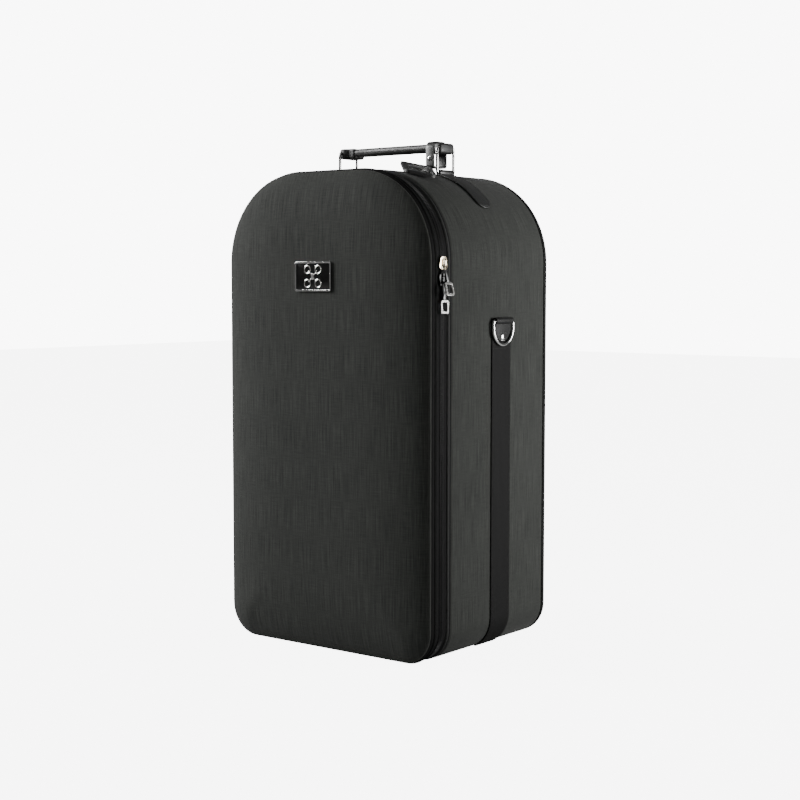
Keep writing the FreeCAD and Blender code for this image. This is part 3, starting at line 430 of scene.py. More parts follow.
# ---------------------------------------------------------------------------------------------
# The case's outline: strips are made flat, then wrapped round it
# ---------------------------------------------------------------------------------------------
@dataclass
class Outline:
    """The case's outline from the front, walked from the middle of the top, positive towards +X.

    A flat piece has x along the outline, y along the case's depth and z outwards from the outline.
    """

    half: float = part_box("body_cover")[1][0]
    height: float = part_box("body_cover")[1][2]
    shoulder: float = 106 * MM
    corner: float = 40 * MM
    least: float = 6 * MM

    def stretches(self, out: float) -> list[float]:
        """Lengths of the half outline's five stretches, moved outwards by a distance."""
        shoulder = max(self.shoulder + out, self.least)
        corner = max(self.corner + out, self.least)
        half, height = self.half + out, self.height + 2 * out
        quarter = math.pi / 2
        return [half - shoulder, shoulder * quarter, height - shoulder - corner, corner * quarter, half - corner]

    @property
    def length(self) -> float:
        """The whole outline."""
        return 2 * sum(self.stretches(0))

    def along(self, share: float) -> float:
        """A point's distance along the outline from its share of the right-hand shoulder, 0 at its top."""
        return self.stretches(0)[0] + share * self.stretches(0)[1]

    def down(self, z: float) -> float:
        """Distance along the outline to a height on the straight side."""
        first, arc, *_ = self.stretches(0)
        return first + arc + (self.height - self.shoulder - z)

    def spot(self, s: float, out: float) -> tuple[float, float]:
        """The point at a distance along the outline and a distance out from it.

        Args:
            s: Distance from the middle of the top, negative towards -X.
            out: Distance outwards, negative for inwards.

        Returns:
            X and Z.
        """
        sign = -1 if s < 0 else 1
        rest = min(abs(s), self.length / 2)
        base, moved = self.stretches(0), self.stretches(out)
        index = 0
        while index < 4 and rest > base[index]:
            rest -= base[index]
            index += 1
        share = rest / base[index]
        half, high, low = self.half + out, self.height + out, -out
        shoulder = max(self.shoulder + out, self.least)
        corner = max(self.corner + out, self.least)
        if index == 0:
            x, z = share * moved[0], high
        elif index == 1:
            turn = share * math.pi / 2
            x, z = half - shoulder + shoulder * math.sin(turn), high - shoulder + shoulder * math.cos(turn)
        elif index == 2:
            x, z = half, high - shoulder - share * moved[2]
        elif index == 3:
            turn = share * math.pi / 2
            x, z = half - corner + corner * math.cos(turn), low + corner - corner * math.sin(turn)
        else:
            x, z = half - corner - share * moved[4], low
        return sign * x, z

    def wrap(self, piece: bpy.types.Object, closed: bool = False) -> bpy.types.Object:
        """Bends a flat piece round the outline.

        Args:
            piece: A flat piece, as the class describes.
            closed: Joins the two ends at the middle of the underside.

        Returns:
            The same object.
        """
        for vertex in piece.data.vertices:
            s, y, out = vertex.co
            x, z = self.spot(s, out)
            vertex.co = (x, y, z)
        piece.data.update()
        return Bench.close(piece) if closed else piece

    def strip(self, name: str, front: float, back: float, out: float, thick: float, rows: int = 1,
              span: tuple[float, float] | None = None, pitch: float = 5 * MM) -> bpy.types.Object:
        """A plain band round the case, with a UV map in metres.

        Args:
            name: The piece's name.
            front: Its front edge along Y.
            back: Its back edge along Y.
            out: Its outer face, from the outline.
            thick: Its thickness, inwards.
            rows: Divisions across it.
            span: Its ends along the outline; the whole way round if left out.
            pitch: Size of a division along it.

        Returns:
            The band.
        """
        profile = [(front + (back - front) * row / rows, out) for row in range(rows + 1)]
        return self.sheath(name, profile, thick, span, pitch)

    def sheath(self, name: str, profile: list[tuple[float, float]], thick: float,
               span: tuple[float, float] | None = None, pitch: float = 5 * MM,
               warp: bool = False) -> bpy.types.Object:
        """A band round the case whose section follows a profile.

        Args:
            name: The piece's name.
            profile: Pairs of Y and distance out from the outline.
            thick: Its thickness, inwards; 0 for an open sheet.
            span: Its ends along the outline; the whole way round if left out.
            pitch: Size of a division along it.
            warp: Runs the cloth's warp along the band, as V, and not across it.

        Returns:
            The band, with a UV map in metres.
        """
        first, last = span or (-self.length / 2, self.length / 2)
        columns, rows = max(2, round((last - first) / pitch)), len(profile) - 1
        piece = Bench.grid(name, last - first, 1, columns, rows)
        for vertex in piece.data.vertices:
            y, out = profile[round((vertex.co.y + 0.5) * rows)]
            vertex.co = (vertex.co.x + (first + last) / 2, y, out)
        Bench.flat_uv(piece, *((1, 0) if warp else (0, 1)))
        self.wrap(piece, closed=span is None)
        Tub.turn_out(piece, self.outward(piece))
        if thick:
            Bench.apply(piece, "SOLIDIFY", thickness=thick, offset=-1)
        return Bench.smooth(piece, 50)

    def outward(self, piece: bpy.types.Object) -> bool:
        """Whether a strip's faces point away from the case's middle."""
        centre = Vector((0, 0, self.height / 2))
        total = 0.0
        for face in piece.data.polygons:
            away = face.center - centre
            away.y = 0
            total += face.normal.dot(away) * face.area
        return total > 0

    def cord(self, name: str, y: float, out: float, radius: float, pitch: float = 4 * MM) -> bpy.types.Object:
        """A round cord the whole way round the case.

        Args:
            name: The piece's name.
            y: Its centre along Y.
            out: Its centre, from the outline.
            radius: Its radius.
            pitch: Size of a division along it.

        Returns:
            The cord, with a UV map that runs along it.
        """
        columns = round(self.length / pitch)
        piece = Bench.grid(name, self.length, 1, columns, 12)
        Bench.flat_uv(piece)
        for vertex in piece.data.vertices:
            turn = (vertex.co.y + 0.5) * math.tau
            vertex.co = (vertex.co.x, y + radius * math.cos(turn), out + radius * math.sin(turn))
        for entry in piece.data.uv_layers["UVMap"].data:
            entry.uv = (entry.uv[0], entry.uv[1] * math.tau * radius)
        self.wrap(piece, closed=True)
        return Bench.smooth(piece, 70)

    def line(self, name: str, y: float, out: float, span: tuple[float, float] | None = None) -> bpy.types.Object:
        """A sewing line round the case, as edges."""
        first, last = span or (-self.length / 2, self.length / 2)
        piece = Bench.grid(name, last - first, 0.001, max(2, round((last - first) / (6 * MM))), 1)
        Bench.place(piece, Matrix.Translation(((first + last) / 2, y, out)))
        with Bench.editing(piece):
            Bench.choose(piece, "verts", lambda spot: spot.y > y)
            bpy.ops.mesh.delete(type="VERT")
        return self.wrap(piece, closed=span is None)


# ---------------------------------------------------------------------------------------------
# Materials
# ---------------------------------------------------------------------------------------------
class Canvas:
    """A node tree under construction: adds nodes and joins them by name."""

    def __init__(self, tree: bpy.types.NodeTree) -> None:
        """Starts on a tree."""
        self.tree = tree

    def add(self, kind: str, links: dict[str | int, object] | None = None, **settings: object) -> bpy.types.Node:
        """Adds a node.

        Args:
            kind: The node's type.
            links: Input name or index to a socket or a constant.
            settings: The node's properties.

        Returns:
            The node.
        """
        node = self.tree.nodes.new(kind)
        for key, value in settings.items():
            setattr(node, key, value)
        for key, value in (links or {}).items():
            self.feed(node.inputs[key], value)
        return node

    def feed(self, socket: bpy.types.NodeSocket, value: object) -> None:
        """Links a socket to an input, or sets a constant on it."""
        if isinstance(value, bpy.types.NodeSocket):
            self.tree.links.new(value, socket)
        else:
            socket.default_value = value

    def math(self, operation: str, first: object, second: object = 0.0) -> bpy.types.NodeSocket:
        """Arithmetic on two values."""
        return self.add("ShaderNodeMath", {0: first, 1: second}, operation=operation).outputs[0]

    def plus(self, first: object, second: object) -> bpy.types.NodeSocket:
        """The sum of two values."""
        return self.math("ADD", first, second)

    def times(self, first: object, second: object) -> bpy.types.NodeSocket:
        """The product of two values."""
        return self.math("MULTIPLY", first, second)

    def set(self, shader: bpy.types.Node, **inputs: object) -> None:
        """Sets a shader's inputs; an underscore in a name stands for a space.

        Args:
            shader: The shader node.
            inputs: Input names to sockets, which are linked, or constants.
        """
        for key, value in inputs.items():
            self.feed(shader.inputs[key.replace("_", " ")], value)

    def blend(self, share: object, low: object, high: object) -> bpy.types.NodeSocket:
        """A colour between two others."""
        node = self.add("ShaderNodeMix", {0: share, 6: low, 7: high}, data_type="RGBA")
        return node.outputs[2]

    def ramp(self, value: object, low: float, high: float, start: float = 0.0,
             end: float = 1.0) -> bpy.types.NodeSocket:
        """Maps a value from low..high to start..end, held at the ends."""
        return self.add("ShaderNodeMapRange", {0: value, 1: low, 2: high, 3: start, 4: end}).outputs[0]

    def stretch(self, vector: object, scale: tuple[float, float, float]) -> bpy.types.NodeSocket:
        """Scales a position."""
        return self.add("ShaderNodeMapping", {"Vector": vector, "Scale": scale}).outputs[0]

    def noise(self, vector: object, scale: float, detail: float = 2.0, rough: float = 0.5) -> bpy.types.NodeSocket:
        """Noise from 0 to 1."""
        return self.add("ShaderNodeTexNoise", {"Vector": vector, "Scale": scale, "Detail": detail,
                                               "Roughness": rough}).outputs[0]


class Effects:
    """Shader node groups that several finishes use, each built once."""

    made: dict[str, bpy.types.NodeTree] = {}

    @classmethod
    def group(cls, name: str, inputs: dict[str, str], outputs: tuple[str, ...],
              build: Callable[[Canvas, dict[str, bpy.types.NodeSocket]], dict[str, object]]) -> bpy.types.NodeTree:
        """Makes a group, or finds it.

        Args:
            name: The group's name.
            inputs: Input name to its socket type.
            outputs: Names of its value outputs.
            build: Adds the nodes and returns the outputs' sockets.

        Returns:
            The group.
        """
        if name in cls.made:
            return cls.made[name]
        tree = bpy.data.node_groups.new(name, "ShaderNodeTree")
        for key, kind in inputs.items():
            tree.interface.new_socket(key, in_out="INPUT", socket_type=kind)
        for key in outputs:
            tree.interface.new_socket(key, in_out="OUTPUT", socket_type=NUMBER)
        canvas = Canvas(tree)
        entry = canvas.add("NodeGroupInput")
        result = build(canvas, {key: entry.outputs[key] for key in inputs})
        canvas.add("NodeGroupOutput", dict(result))
        cls.made[name] = tree
        return tree

    @classmethod
    def heather(cls) -> bpy.types.NodeTree:
        """Plain-woven heathered cloth: long pale and dark slubs both ways over a fine weave."""

        def build(canvas: Canvas, given: dict[str, bpy.types.NodeSocket]) -> dict[str, object]:
            place, pitch = given["Vector"], given["Pitch"]
            warp = canvas.noise(canvas.stretch(place, (900, 22, 1)), 1.0, 3.0, 0.62)
            weft = canvas.noise(canvas.stretch(place, (52, 1000, 1)), 1.0, 2.0, 0.6)
            cloud = canvas.noise(place, 12.0, 2.0)
            turn = canvas.math("DIVIDE", math.tau, pitch)
            split = canvas.add("ShaderNodeSeparateXYZ", {0: place})
            across = canvas.math("SINE", canvas.times(split.outputs[0], turn))
            up = canvas.math("SINE", canvas.times(split.outputs[1], turn))
            weave = canvas.times(across, up)
            streak = canvas.plus(canvas.times(warp, 0.72), canvas.times(weft, 0.28))
            tone = canvas.plus(streak, canvas.times(canvas.math("SUBTRACT", cloud, 0.5), 0.10))
            # The weave term is painted shade: thread crossings a little lighter, the gaps between them darker; the
            # slubs and cloud are the yarn's own colour.
            tone = canvas.plus(tone, canvas.times(weave, 0.03))
            height = canvas.plus(canvas.times(streak, 0.7), canvas.times(weave, 0.3))
            return {"Tone": tone, "Height": height}

        return cls.group("heather_weave", {"Vector": VECTOR, "Pitch": NUMBER}, ("Tone", "Height"), build)

    @classmethod
    def ribs(cls) -> bpy.types.NodeTree:
        """Webbing: raised ribs along U crossed by a finer weft; its tone is painted shade, lighter on the ribs and
        darker in the grooves.
        """

        def build(canvas: Canvas, given: dict[str, bpy.types.NodeSocket]) -> dict[str, object]:
            split = canvas.add("ShaderNodeSeparateXYZ", {0: given["Vector"]})
            rib = canvas.math("SINE", canvas.math("DIVIDE", canvas.times(split.outputs[1], math.tau), given["Rib"]))
            weft = canvas.math("SINE", canvas.math("DIVIDE", canvas.times(split.outputs[0], math.tau), given["Weft"]))
            fuzz = canvas.noise(given["Vector"], 900.0, 2.0)
            height = canvas.plus(canvas.times(rib, 0.5), canvas.times(canvas.times(weft, rib), 0.3))
            height = canvas.plus(height, canvas.times(fuzz, 0.3))
            # The tone follows the height: painted shade in the grooves between the ribs.
            return {"Height": height, "Tone": canvas.ramp(height, -0.6, 0.9)}

        return cls.group("webbing_ribs", {"Vector": VECTOR, "Rib": NUMBER, "Weft": NUMBER}, ("Height", "Tone"), build)

    @classmethod
    def pebble(cls) -> bpy.types.NodeTree:
        """Leather grain: small uneven pebbles with fine creases between them."""

        def build(canvas: Canvas, given: dict[str, bpy.types.NodeSocket]) -> dict[str, object]:
            place = given["Vector"]
            wander = canvas.noise(place, 160.0, 2.0)
            shift = canvas.add("ShaderNodeVectorMath", {0: wander, "Scale": 1.2 * MM}, operation="SCALE").outputs[0]
            spot = canvas.add("ShaderNodeVectorMath", {0: place, 1: shift}, operation="ADD").outputs[0]
            cells = canvas.add("ShaderNodeTexVoronoi", {"Vector": spot, "Scale": given["Scale"]},
                               feature="DISTANCE_TO_EDGE")
            crease = canvas.ramp(cells.outputs[0], 0.0, 0.22)
            broad = canvas.noise(place, 45.0, 3.0)
            return {"Height": canvas.plus(crease, canvas.times(broad, 0.6)), "Tone": broad}

        return cls.group("leather_pebble", {"Vector": VECTOR, "Scale": NUMBER}, ("Height", "Tone"), build)

    @classmethod
    def rubbed(cls) -> bpy.types.NodeTree:
        """Rubbing: patchy brighter handling marks, strongest where the surface stands out."""

        def build(canvas: Canvas, given: dict[str, bpy.types.NodeSocket]) -> dict[str, object]:
            patches = canvas.noise(given["Vector"], 70.0, 4.0, 0.65)
            scratch = canvas.noise(canvas.stretch(given["Vector"], (90, 900, 900)), 1.0, 2.0)
            edge = canvas.ramp(given["Edge"], 0.52, 0.62)
            mark = canvas.times(canvas.ramp(patches, 0.4, 0.7), edge)
            return {"Edge Wear": mark, "Scratches": canvas.ramp(scratch, 0.6, 0.75)}

        return cls.group("rubbed_marks", {"Vector": VECTOR, "Edge": NUMBER}, ("Edge Wear", "Scratches"), build)


@dataclass(frozen=True)
class Finish:
    """What every finish has: a name, a slot and how the shader is set up."""

    name: str
    slot: str

    def start(self) -> tuple[bpy.types.Material, Canvas, bpy.types.Node]:
        """A new material with an empty Principled shader.

        Returns:
            The material, its canvas and the shader.
        """
        material = bpy.data.materials.new(self.name)
        material.use_nodes = True
        canvas = Canvas(material.node_tree)
        return material, canvas, material.node_tree.nodes["Principled BSDF"]

    @staticmethod
    def bump(canvas: Canvas, shader: bpy.types.Node, height: object, distance: float, strength: float = 1.0) -> None:
        """Feeds a height to the shader's normal."""
        node = canvas.add("ShaderNodeBump", {"Height": height, "Distance": distance, "Strength": strength})
        canvas.tree.links.new(node.outputs[0], shader.inputs["Normal"])

    def material(self) -> bpy.types.Material:
        """The material, built once."""
        return bpy.data.materials.get(self.name) or self.build()

    def build(self) -> bpy.types.Material:
        """Builds the material; each kind of finish has its own way."""
        raise NotImplementedError


@dataclass(frozen=True)
class Cloth(Finish):
    """Heathered cloth, which reads the piece's UV map in metres."""

    dark: tuple[float, float, float] = (0.0125, 0.0137, 0.0122)
    light: tuple[float, float, float] = (0.045, 0.0475, 0.0425)
    pitch: float = 0.9 * MM
    rough: float = 0.82
    sheen: float = 0.06
    gloss: float = 0.22

    def build(self) -> bpy.types.Material:
        """Builds the material."""
        material, canvas, shader = self.start()
        spot = canvas.add("ShaderNodeTexCoord").outputs["UV"]
        weave = canvas.add("ShaderNodeGroup", node_tree=Effects.heather())
        canvas.set(weave, Vector=spot, Pitch=self.pitch)
        share = canvas.ramp(weave.outputs["Tone"], 0.30, 0.75)
        colour = canvas.blend(share, (*self.dark, 1), (*self.light, 1))
        rough = canvas.ramp(share, 0, 1, self.rough + 0.08, self.rough - 0.06)
        canvas.set(shader, Base_Color=colour, Roughness=rough, Sheen_Weight=self.sheen, Sheen_Roughness=0.45,
                   Specular_IOR_Level=self.gloss)
        self.bump(canvas, shader, weave.outputs["Height"], 0.35 * MM, 0.55)
        return material


@dataclass(frozen=True)
class Webbing(Finish):
    """Ribbed black webbing, tape and corded edging, which read the piece's UV map in metres."""

    colour: tuple[float, float, float] = (0.0045, 0.0045, 0.0044)
    rib: float = 2.4 * MM
    weft: float = 1.3 * MM
    rough: float = 0.72
    depth: float = 0.25 * MM
    gloss: float = 0.12

    def build(self) -> bpy.types.Material:
        """Builds the material."""
        material, canvas, shader = self.start()
        spot = canvas.add("ShaderNodeTexCoord").outputs["UV"]
        ribs = canvas.add("ShaderNodeGroup", node_tree=Effects.ribs())
        canvas.set(ribs, Vector=spot, Rib=self.rib, Weft=self.weft)
        # Ribs up to 2.2 times lighter than the grooves: painted shade from the rib height.
        bright = tuple(channel * 2.2 for channel in self.colour)
        colour = canvas.blend(ribs.outputs["Tone"], (*self.colour, 1), (*bright, 1))
        rough = canvas.ramp(ribs.outputs["Tone"], 0, 1, self.rough + 0.1, self.rough - 0.08)
        canvas.set(shader, Base_Color=colour, Roughness=rough, Specular_IOR_Level=self.gloss)
        self.bump(canvas, shader, ribs.outputs["Height"], self.depth, 0.8)
        return material


@dataclass(frozen=True)
class Leather(Finish):
    """Black leather with a pebble grain and rubbed edges, on object coordinates."""

    colour: tuple[float, float, float] = (0.012, 0.0125, 0.012)
    worn: tuple[float, float, float] = (0.05, 0.05, 0.047)
    grain: float = 900.0
    rough: float = 0.36
    coat: float = 0.3
    gloss: float = 0.5

    def build(self) -> bpy.types.Material:
        """Builds the material."""
        material, canvas, shader = self.start()
        spot = canvas.add("ShaderNodeTexCoord").outputs["Object"]
        grain = canvas.add("ShaderNodeGroup", node_tree=Effects.pebble())
        canvas.set(grain, Vector=spot, Scale=self.grain)
        marks = canvas.add("ShaderNodeGroup", node_tree=Effects.rubbed())
        canvas.set(marks, Vector=spot, Edge=canvas.add("ShaderNodeNewGeometry").outputs["Pointiness"])
        colour = canvas.blend(marks.outputs["Edge Wear"], (*self.colour, 1), (*self.worn, 1))
        rough = canvas.ramp(grain.outputs["Tone"], 0.3, 0.7, self.rough - 0.06, self.rough + 0.1)
        canvas.set(shader, Base_Color=colour, Roughness=rough, Coat_Weight=self.coat, Coat_Roughness=0.25,
                   Specular_IOR_Level=self.gloss)
        self.bump(canvas, shader, grain.outputs["Height"], 0.12 * MM, 0.6)
        return material


@dataclass(frozen=True)
class Metal(Finish):
    """Plated or plain metal with fine scratches, on object coordinates."""

    colour: tuple[float, float, float] = (0.75, 0.75, 0.74)
    rough: float = 0.14

    def build(self) -> bpy.types.Material:
        """Builds the material."""
        material, canvas, shader = self.start()
        spot = canvas.add("ShaderNodeTexCoord").outputs["Object"]
        marks = canvas.add("ShaderNodeGroup", node_tree=Effects.rubbed())
        canvas.set(marks, Vector=spot)
        dull = tuple(channel * 0.82 for channel in self.colour)
        tarnish = canvas.ramp(canvas.noise(spot, 120.0, 3.0), 0.45, 0.75)
        rough = canvas.ramp(marks.outputs["Scratches"], 0, 1, self.rough, self.rough + 0.12)
        canvas.set(shader, Base_Color=canvas.blend(tarnish, (*self.colour, 1), (*dull, 1)), Roughness=rough,
                   Metallic=1.0)
        self.bump(canvas, shader, marks.outputs["Scratches"], 0.01 * MM, 0.3)
        return material


@dataclass(frozen=True)
class Foam(Finish):
    """Cut closed-cell foam: matt, with pores, on object coordinates."""

    colour: tuple[float, float, float] = (0.030, 0.031, 0.033)
    pore: float = 1100.0
    depth: float = 0.3 * MM

    def build(self) -> bpy.types.Material:
        """Builds the material."""
        material, canvas, shader = self.start()
        spot = canvas.add("ShaderNodeTexCoord").outputs["Object"]
        cells = canvas.add("ShaderNodeTexVoronoi", {"Vector": spot, "Scale": self.pore}).outputs[0]
        cloud = canvas.noise(spot, 30.0, 3.0)
        height = canvas.plus(cells, canvas.times(cloud, 0.5))
        # The colour follows the height: painted shade, darker in the pores and hollows, lighter on the raised foam.
        bright = tuple(channel * 1.8 for channel in self.colour)
        canvas.set(shader, Base_Color=canvas.blend(canvas.ramp(height, 0.3, 1.1), (*self.colour, 1), (*bright, 1)),
                   Roughness=canvas.ramp(cloud, 0.3, 0.7, 0.88, 0.98))
        self.bump(canvas, shader, height, self.depth, 0.7)
        return material


@dataclass(frozen=True)
class Moulded(Finish):
    """Moulded plastic or card with a faint texture, on object coordinates."""

    colour: tuple[float, float, float] = (0.02, 0.02, 0.02)
    rough: float = 0.45
    texture: float = 500.0
    depth: float = 0.05 * MM
    gloss: float = 0.5

    def build(self) -> bpy.types.Material:
        """Builds the material."""
        material, canvas, shader = self.start()
        spot = canvas.add("ShaderNodeTexCoord").outputs["Object"]
        speck = canvas.noise(spot, self.texture, 3.0, 0.6)
        bright = tuple(min(1.0, channel * 1.35) for channel in self.colour)
        canvas.set(shader, Base_Color=canvas.blend(canvas.ramp(speck, 0.35, 0.65), (*self.colour, 1), (*bright, 1)),
                   Roughness=canvas.ramp(speck, 0.3, 0.7, self.rough - 0.05, self.rough + 0.08),
                   Specular_IOR_Level=self.gloss)
        self.bump(canvas, shader, speck, self.depth, 0.5)
        return material


@dataclass(frozen=True)
class Window(Finish):
    """Clear flexible vinyl with soft waves."""

    rough: float = 0.08

    def build(self) -> bpy.types.Material:
        """Builds the material."""
        material, canvas, shader = self.start()
        spot = canvas.add("ShaderNodeTexCoord").outputs["Object"]
        waves = canvas.noise(spot, 60.0, 2.0)
        canvas.set(shader, Transmission_Weight=1.0, IOR=1.45,
                   Roughness=canvas.ramp(waves, 0.3, 0.7, self.rough, self.rough + 0.1))
        self.bump(canvas, shader, waves, 0.2 * MM, 0.2)
        return material


COVER = Cloth("cover_cloth", "cover")
BACK_COVER = Cloth("back_cloth", "cover", pitch=1.0 * MM)
TRICOT = Cloth("lining_tricot", "lining", dark=(0.016, 0.016, 0.017), light=(0.034, 0.034, 0.036), pitch=0.7 * MM,
               rough=0.88, sheen=0.4)
PIPING = Webbing("piping_cloth", "piping", colour=(0.011, 0.0115, 0.011), rib=0.9 * MM, weft=0.9 * MM, rough=0.6,
                 gloss=0.2)
# The lid's piping is the body's black cord again, set four times darker and less glossy: painted shade for the groove
# it sits in.
LID_PIPING_PAINTED_SHADE = Webbing("lid_piping_painted_shade", "piping", colour=(0.0026, 0.0027, 0.0026), rib=0.9 * MM, weft=0.9 * MM,
                     rough=0.6, gloss=0.06)
WEBBING = Webbing("strap_webbing", "webbing")
TAPE = Webbing("zip_tape", "webbing", colour=(0.003, 0.003, 0.003), rib=0.8 * MM, weft=0.7 * MM, rough=0.66)
THREAD = Moulded("black_thread", "webbing", colour=(0.012, 0.012, 0.012), rough=0.5, gloss=0.2)
TEETH = Moulded("zip_coil", "zip_teeth", colour=(0.004, 0.004, 0.004), rough=0.42, gloss=0.15)
LEATHER = Leather("handle_leather", "leather")
TAG_LEATHER = Leather("tag_leather", "leather", grain=1100.0, rough=0.42, coat=0.15)
KEEPER = Leather("keeper_leather", "leather", colour=(0.006, 0.006, 0.006), worn=(0.02, 0.02, 0.02), rough=0.55,
                 coat=0.0, gloss=0.22)
LEATHER_THREAD = Moulded("leather_thread", "leather", colour=(0.03, 0.03, 0.03), rough=0.5)
CHROME = Metal("chrome_plate", "chrome_trim", rough=0.1)
NICKEL = Metal("zip_nickel", "zip_metal", colour=(0.72, 0.71, 0.69), rough=0.2)
PALE_GOLD = Metal("slider_pale_gold", "slider_gold", colour=(0.72, 0.62, 0.46), rough=0.26)
BLACK_SLIDER = Metal("slider_black", "slider_dark", colour=(0.05, 0.05, 0.05), rough=0.3)
GUNMETAL = Metal("pull_gunmetal", "zip_metal", colour=(0.09, 0.09, 0.09), rough=0.32)
STEEL = Metal("plain_steel", "steel", colour=(0.5, 0.5, 0.5), rough=0.34)
INLAY = Moulded("plate_inlay_black", "inlay", colour=(0.006, 0.006, 0.006), rough=0.1, gloss=0.3, depth=0.01 * MM)
# The board's near-black is partly its own colour and partly painted shade: it is set darker so that where it shows in
# the zip groove it reads as the groove's shadow.
BOARD = Moulded("moulded_board", "board", colour=(0.003, 0.003, 0.003), rough=0.75, texture=300.0, gloss=0.1)
FOAM = Foam("cut_foam", "foam")
EGG_FOAM = Foam("egg_foam", "egg_foam", colour=(0.038, 0.039, 0.041))
CARD = Moulded("name_card", "card", colour=(0.5, 0.49, 0.46), rough=0.8, texture=900.0)
VINYL = Window("tag_vinyl", "window")


# ---------------------------------------------------------------------------------------------
# Sub-assemblies
# ---------------------------------------------------------------------------------------------
@dataclass
class Assembly:
    """A group of pieces that is built, dressed and reported together."""

    outline: Outline = field(default_factory=Outline)
    count: int = 0

    def dress(self, piece: bpy.types.Object, finish: Finish, body: Body, *nodes: str) -> bpy.types.Object:
        """Gives a piece its material, its body and the CAD nodes that it stands for.

        Args:
            piece: The finished piece.
            finish: Its finish.
            body: The body it rides on.
            nodes: CAD nodes that it replaces.

        Returns:
            The same object.
        """
        piece.data.materials.clear()
        piece.data.materials.append(finish.material())
        if nodes:
            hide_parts(*nodes)
        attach(piece, body.value)
        self.count += 1
        LOG.info("%-22s %-14s %6d faces", piece.name, body.value, len(piece.data.polygons))
        return piece

    @staticmethod
    def repaint(node: str, finish: Finish) -> None:
        """Gives a CAD node that stays in view a better material."""
        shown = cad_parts[node]
        if not shown.material_slots:
            shown.data.materials.append(finish.material())
        for entry in shown.material_slots:
            entry.material = finish.material()

    def build(self) -> None:
        """Builds every piece."""
        raise NotImplementedError


@dataclass
class Tub(Assembly):
    """The deep part of the case: cover, back panel, corded edges, lining and mouth band."""

    rim: float = -76.5 * MM
    seam: float = 117 * MM
    back: float = 120.5 * MM
    cord: float = 2.5 * MM
    cloth: float = 1.0 * MM

    def build(self) -> None:
        """Builds every piece."""
        tuck = [(0.0, -2.4), (0.8, -1.9), (1.9, -1.2), (3.2, -0.4), (4.6, 0.0)]
        front = [(self.rim + y * MM, out * MM) for y, out in tuck]
        back = [(self.seam - y * MM, out * MM) for y, out in reversed(tuck)]
        wrap = self.outline.sheath("side_cover", front + [(20 * MM, 0.0)] + back, self.cloth, pitch=4 * MM, warp=True)
        self.dress(wrap, COVER, Body.CASE, "body_cover")
        self.back_panel()
        for name, y, node in (("back_cord", self.seam + self.cord, "back_piping"),
                              ("mouth_cord", self.rim - self.cord, "body_piping")):
            cord = self.outline.cord(name, y, -self.cord, self.cord)
            self.dress(cord, PIPING, Body.CASE, node)
        for name, y in (("mouth_stitches", self.rim + 2 * MM), ("back_stitches", self.seam - 2 * MM)):
            row = Bench.sew(name, self.outline.line(name + "_line", y, -1.05 * MM))
            self.dress(row, THREAD, Body.CASE)
        band = self.outline.strip("mouth_band", -104 * MM, -52 * MM, -5.4 * MM, 2.0 * MM, rows=1)
        Bench.soften(band, 0.7 * MM)
        self.dress(Bench.smooth(band), TRICOT, Body.CASE, "rim_band")
        lining = self.outline.strip("tub_lining", -52 * MM, 113 * MM, -5.4 * MM, self.cloth, rows=1)
        self.dress(lining, TRICOT, Body.CASE, "body_lining")
        self.repaint("body_shell", BOARD)

    def back_panel(self) -> None:
        """Builds the cloth back: a rolled edge, a shallow swage and a flat middle."""
        lay = self.outline
        profile = [(3.6, 118.3), (5.6, 119.6), (8.5, 120.3), (13, 120.5), (22, 120.5), (24, 119.9), (26, 120.5)]
        columns, rows = 320, len(profile) - 1
        panel = Bench.grid("back_panel", lay.length, 1, columns, rows)
        for vertex in panel.data.vertices:
            inset, y = profile[round((vertex.co.y + 0.5) * rows)]
            vertex.co = (vertex.co.x, y * MM, -inset * MM)
        lay.wrap(panel, closed=True)
        with Bench.editing(panel, "EDGE") as mesh:
            for edge in mesh.edges:
                edge.select_set(edge.is_boundary and self.deep(edge))
            bmesh.update_edit_mesh(panel.data)
            bpy.ops.mesh.edge_face_add()
            bpy.ops.mesh.select_all(action="SELECT")
            bpy.ops.mesh.normals_make_consistent(inside=False)
        self.face_along(panel, Vector((0, 1, 0)))
        Bench.flat_uv(panel, 0, 2)
        self.dress(Bench.smooth(panel, 50), BACK_COVER, Body.CASE, "back_cover")
        row = Bench.loop("back_swage_line", 2 * (lay.half - 24 * MM), lay.height - 48 * MM, lay.shoulder - 24 * MM,
                         lay.corner - 24 * MM, 12)
        Bench.place(row, Matrix.Translation((0, 120.1 * MM, lay.height / 2)) @ UPRIGHT)
        self.dress(Bench.sew("back_swage_stitches", row), THREAD, Body.CASE)

    @staticmethod
    def deep(edge: bmesh.types.BMEdge) -> bool:
        """Whether an edge lies on a panel's inner rim."""
        return all(vertex.co.y > 120.4 * MM for vertex in edge.verts)

    @staticmethod
    def turn_out(piece: bpy.types.Object, outwards: bool) -> None:
        """Turns a piece's faces over unless they point outwards already."""
        if not outwards:
            with Bench.editing(piece):
                bpy.ops.mesh.select_all(action="SELECT")
                bpy.ops.mesh.flip_normals()

    @staticmethod
    def face_along(piece: bpy.types.Object, way: Vector) -> None:
        """Turns a piece's faces over if they point against a direction."""
        Tub.turn_out(piece, sum(face.normal.dot(way) * face.area for face in piece.data.polygons) >= 0)


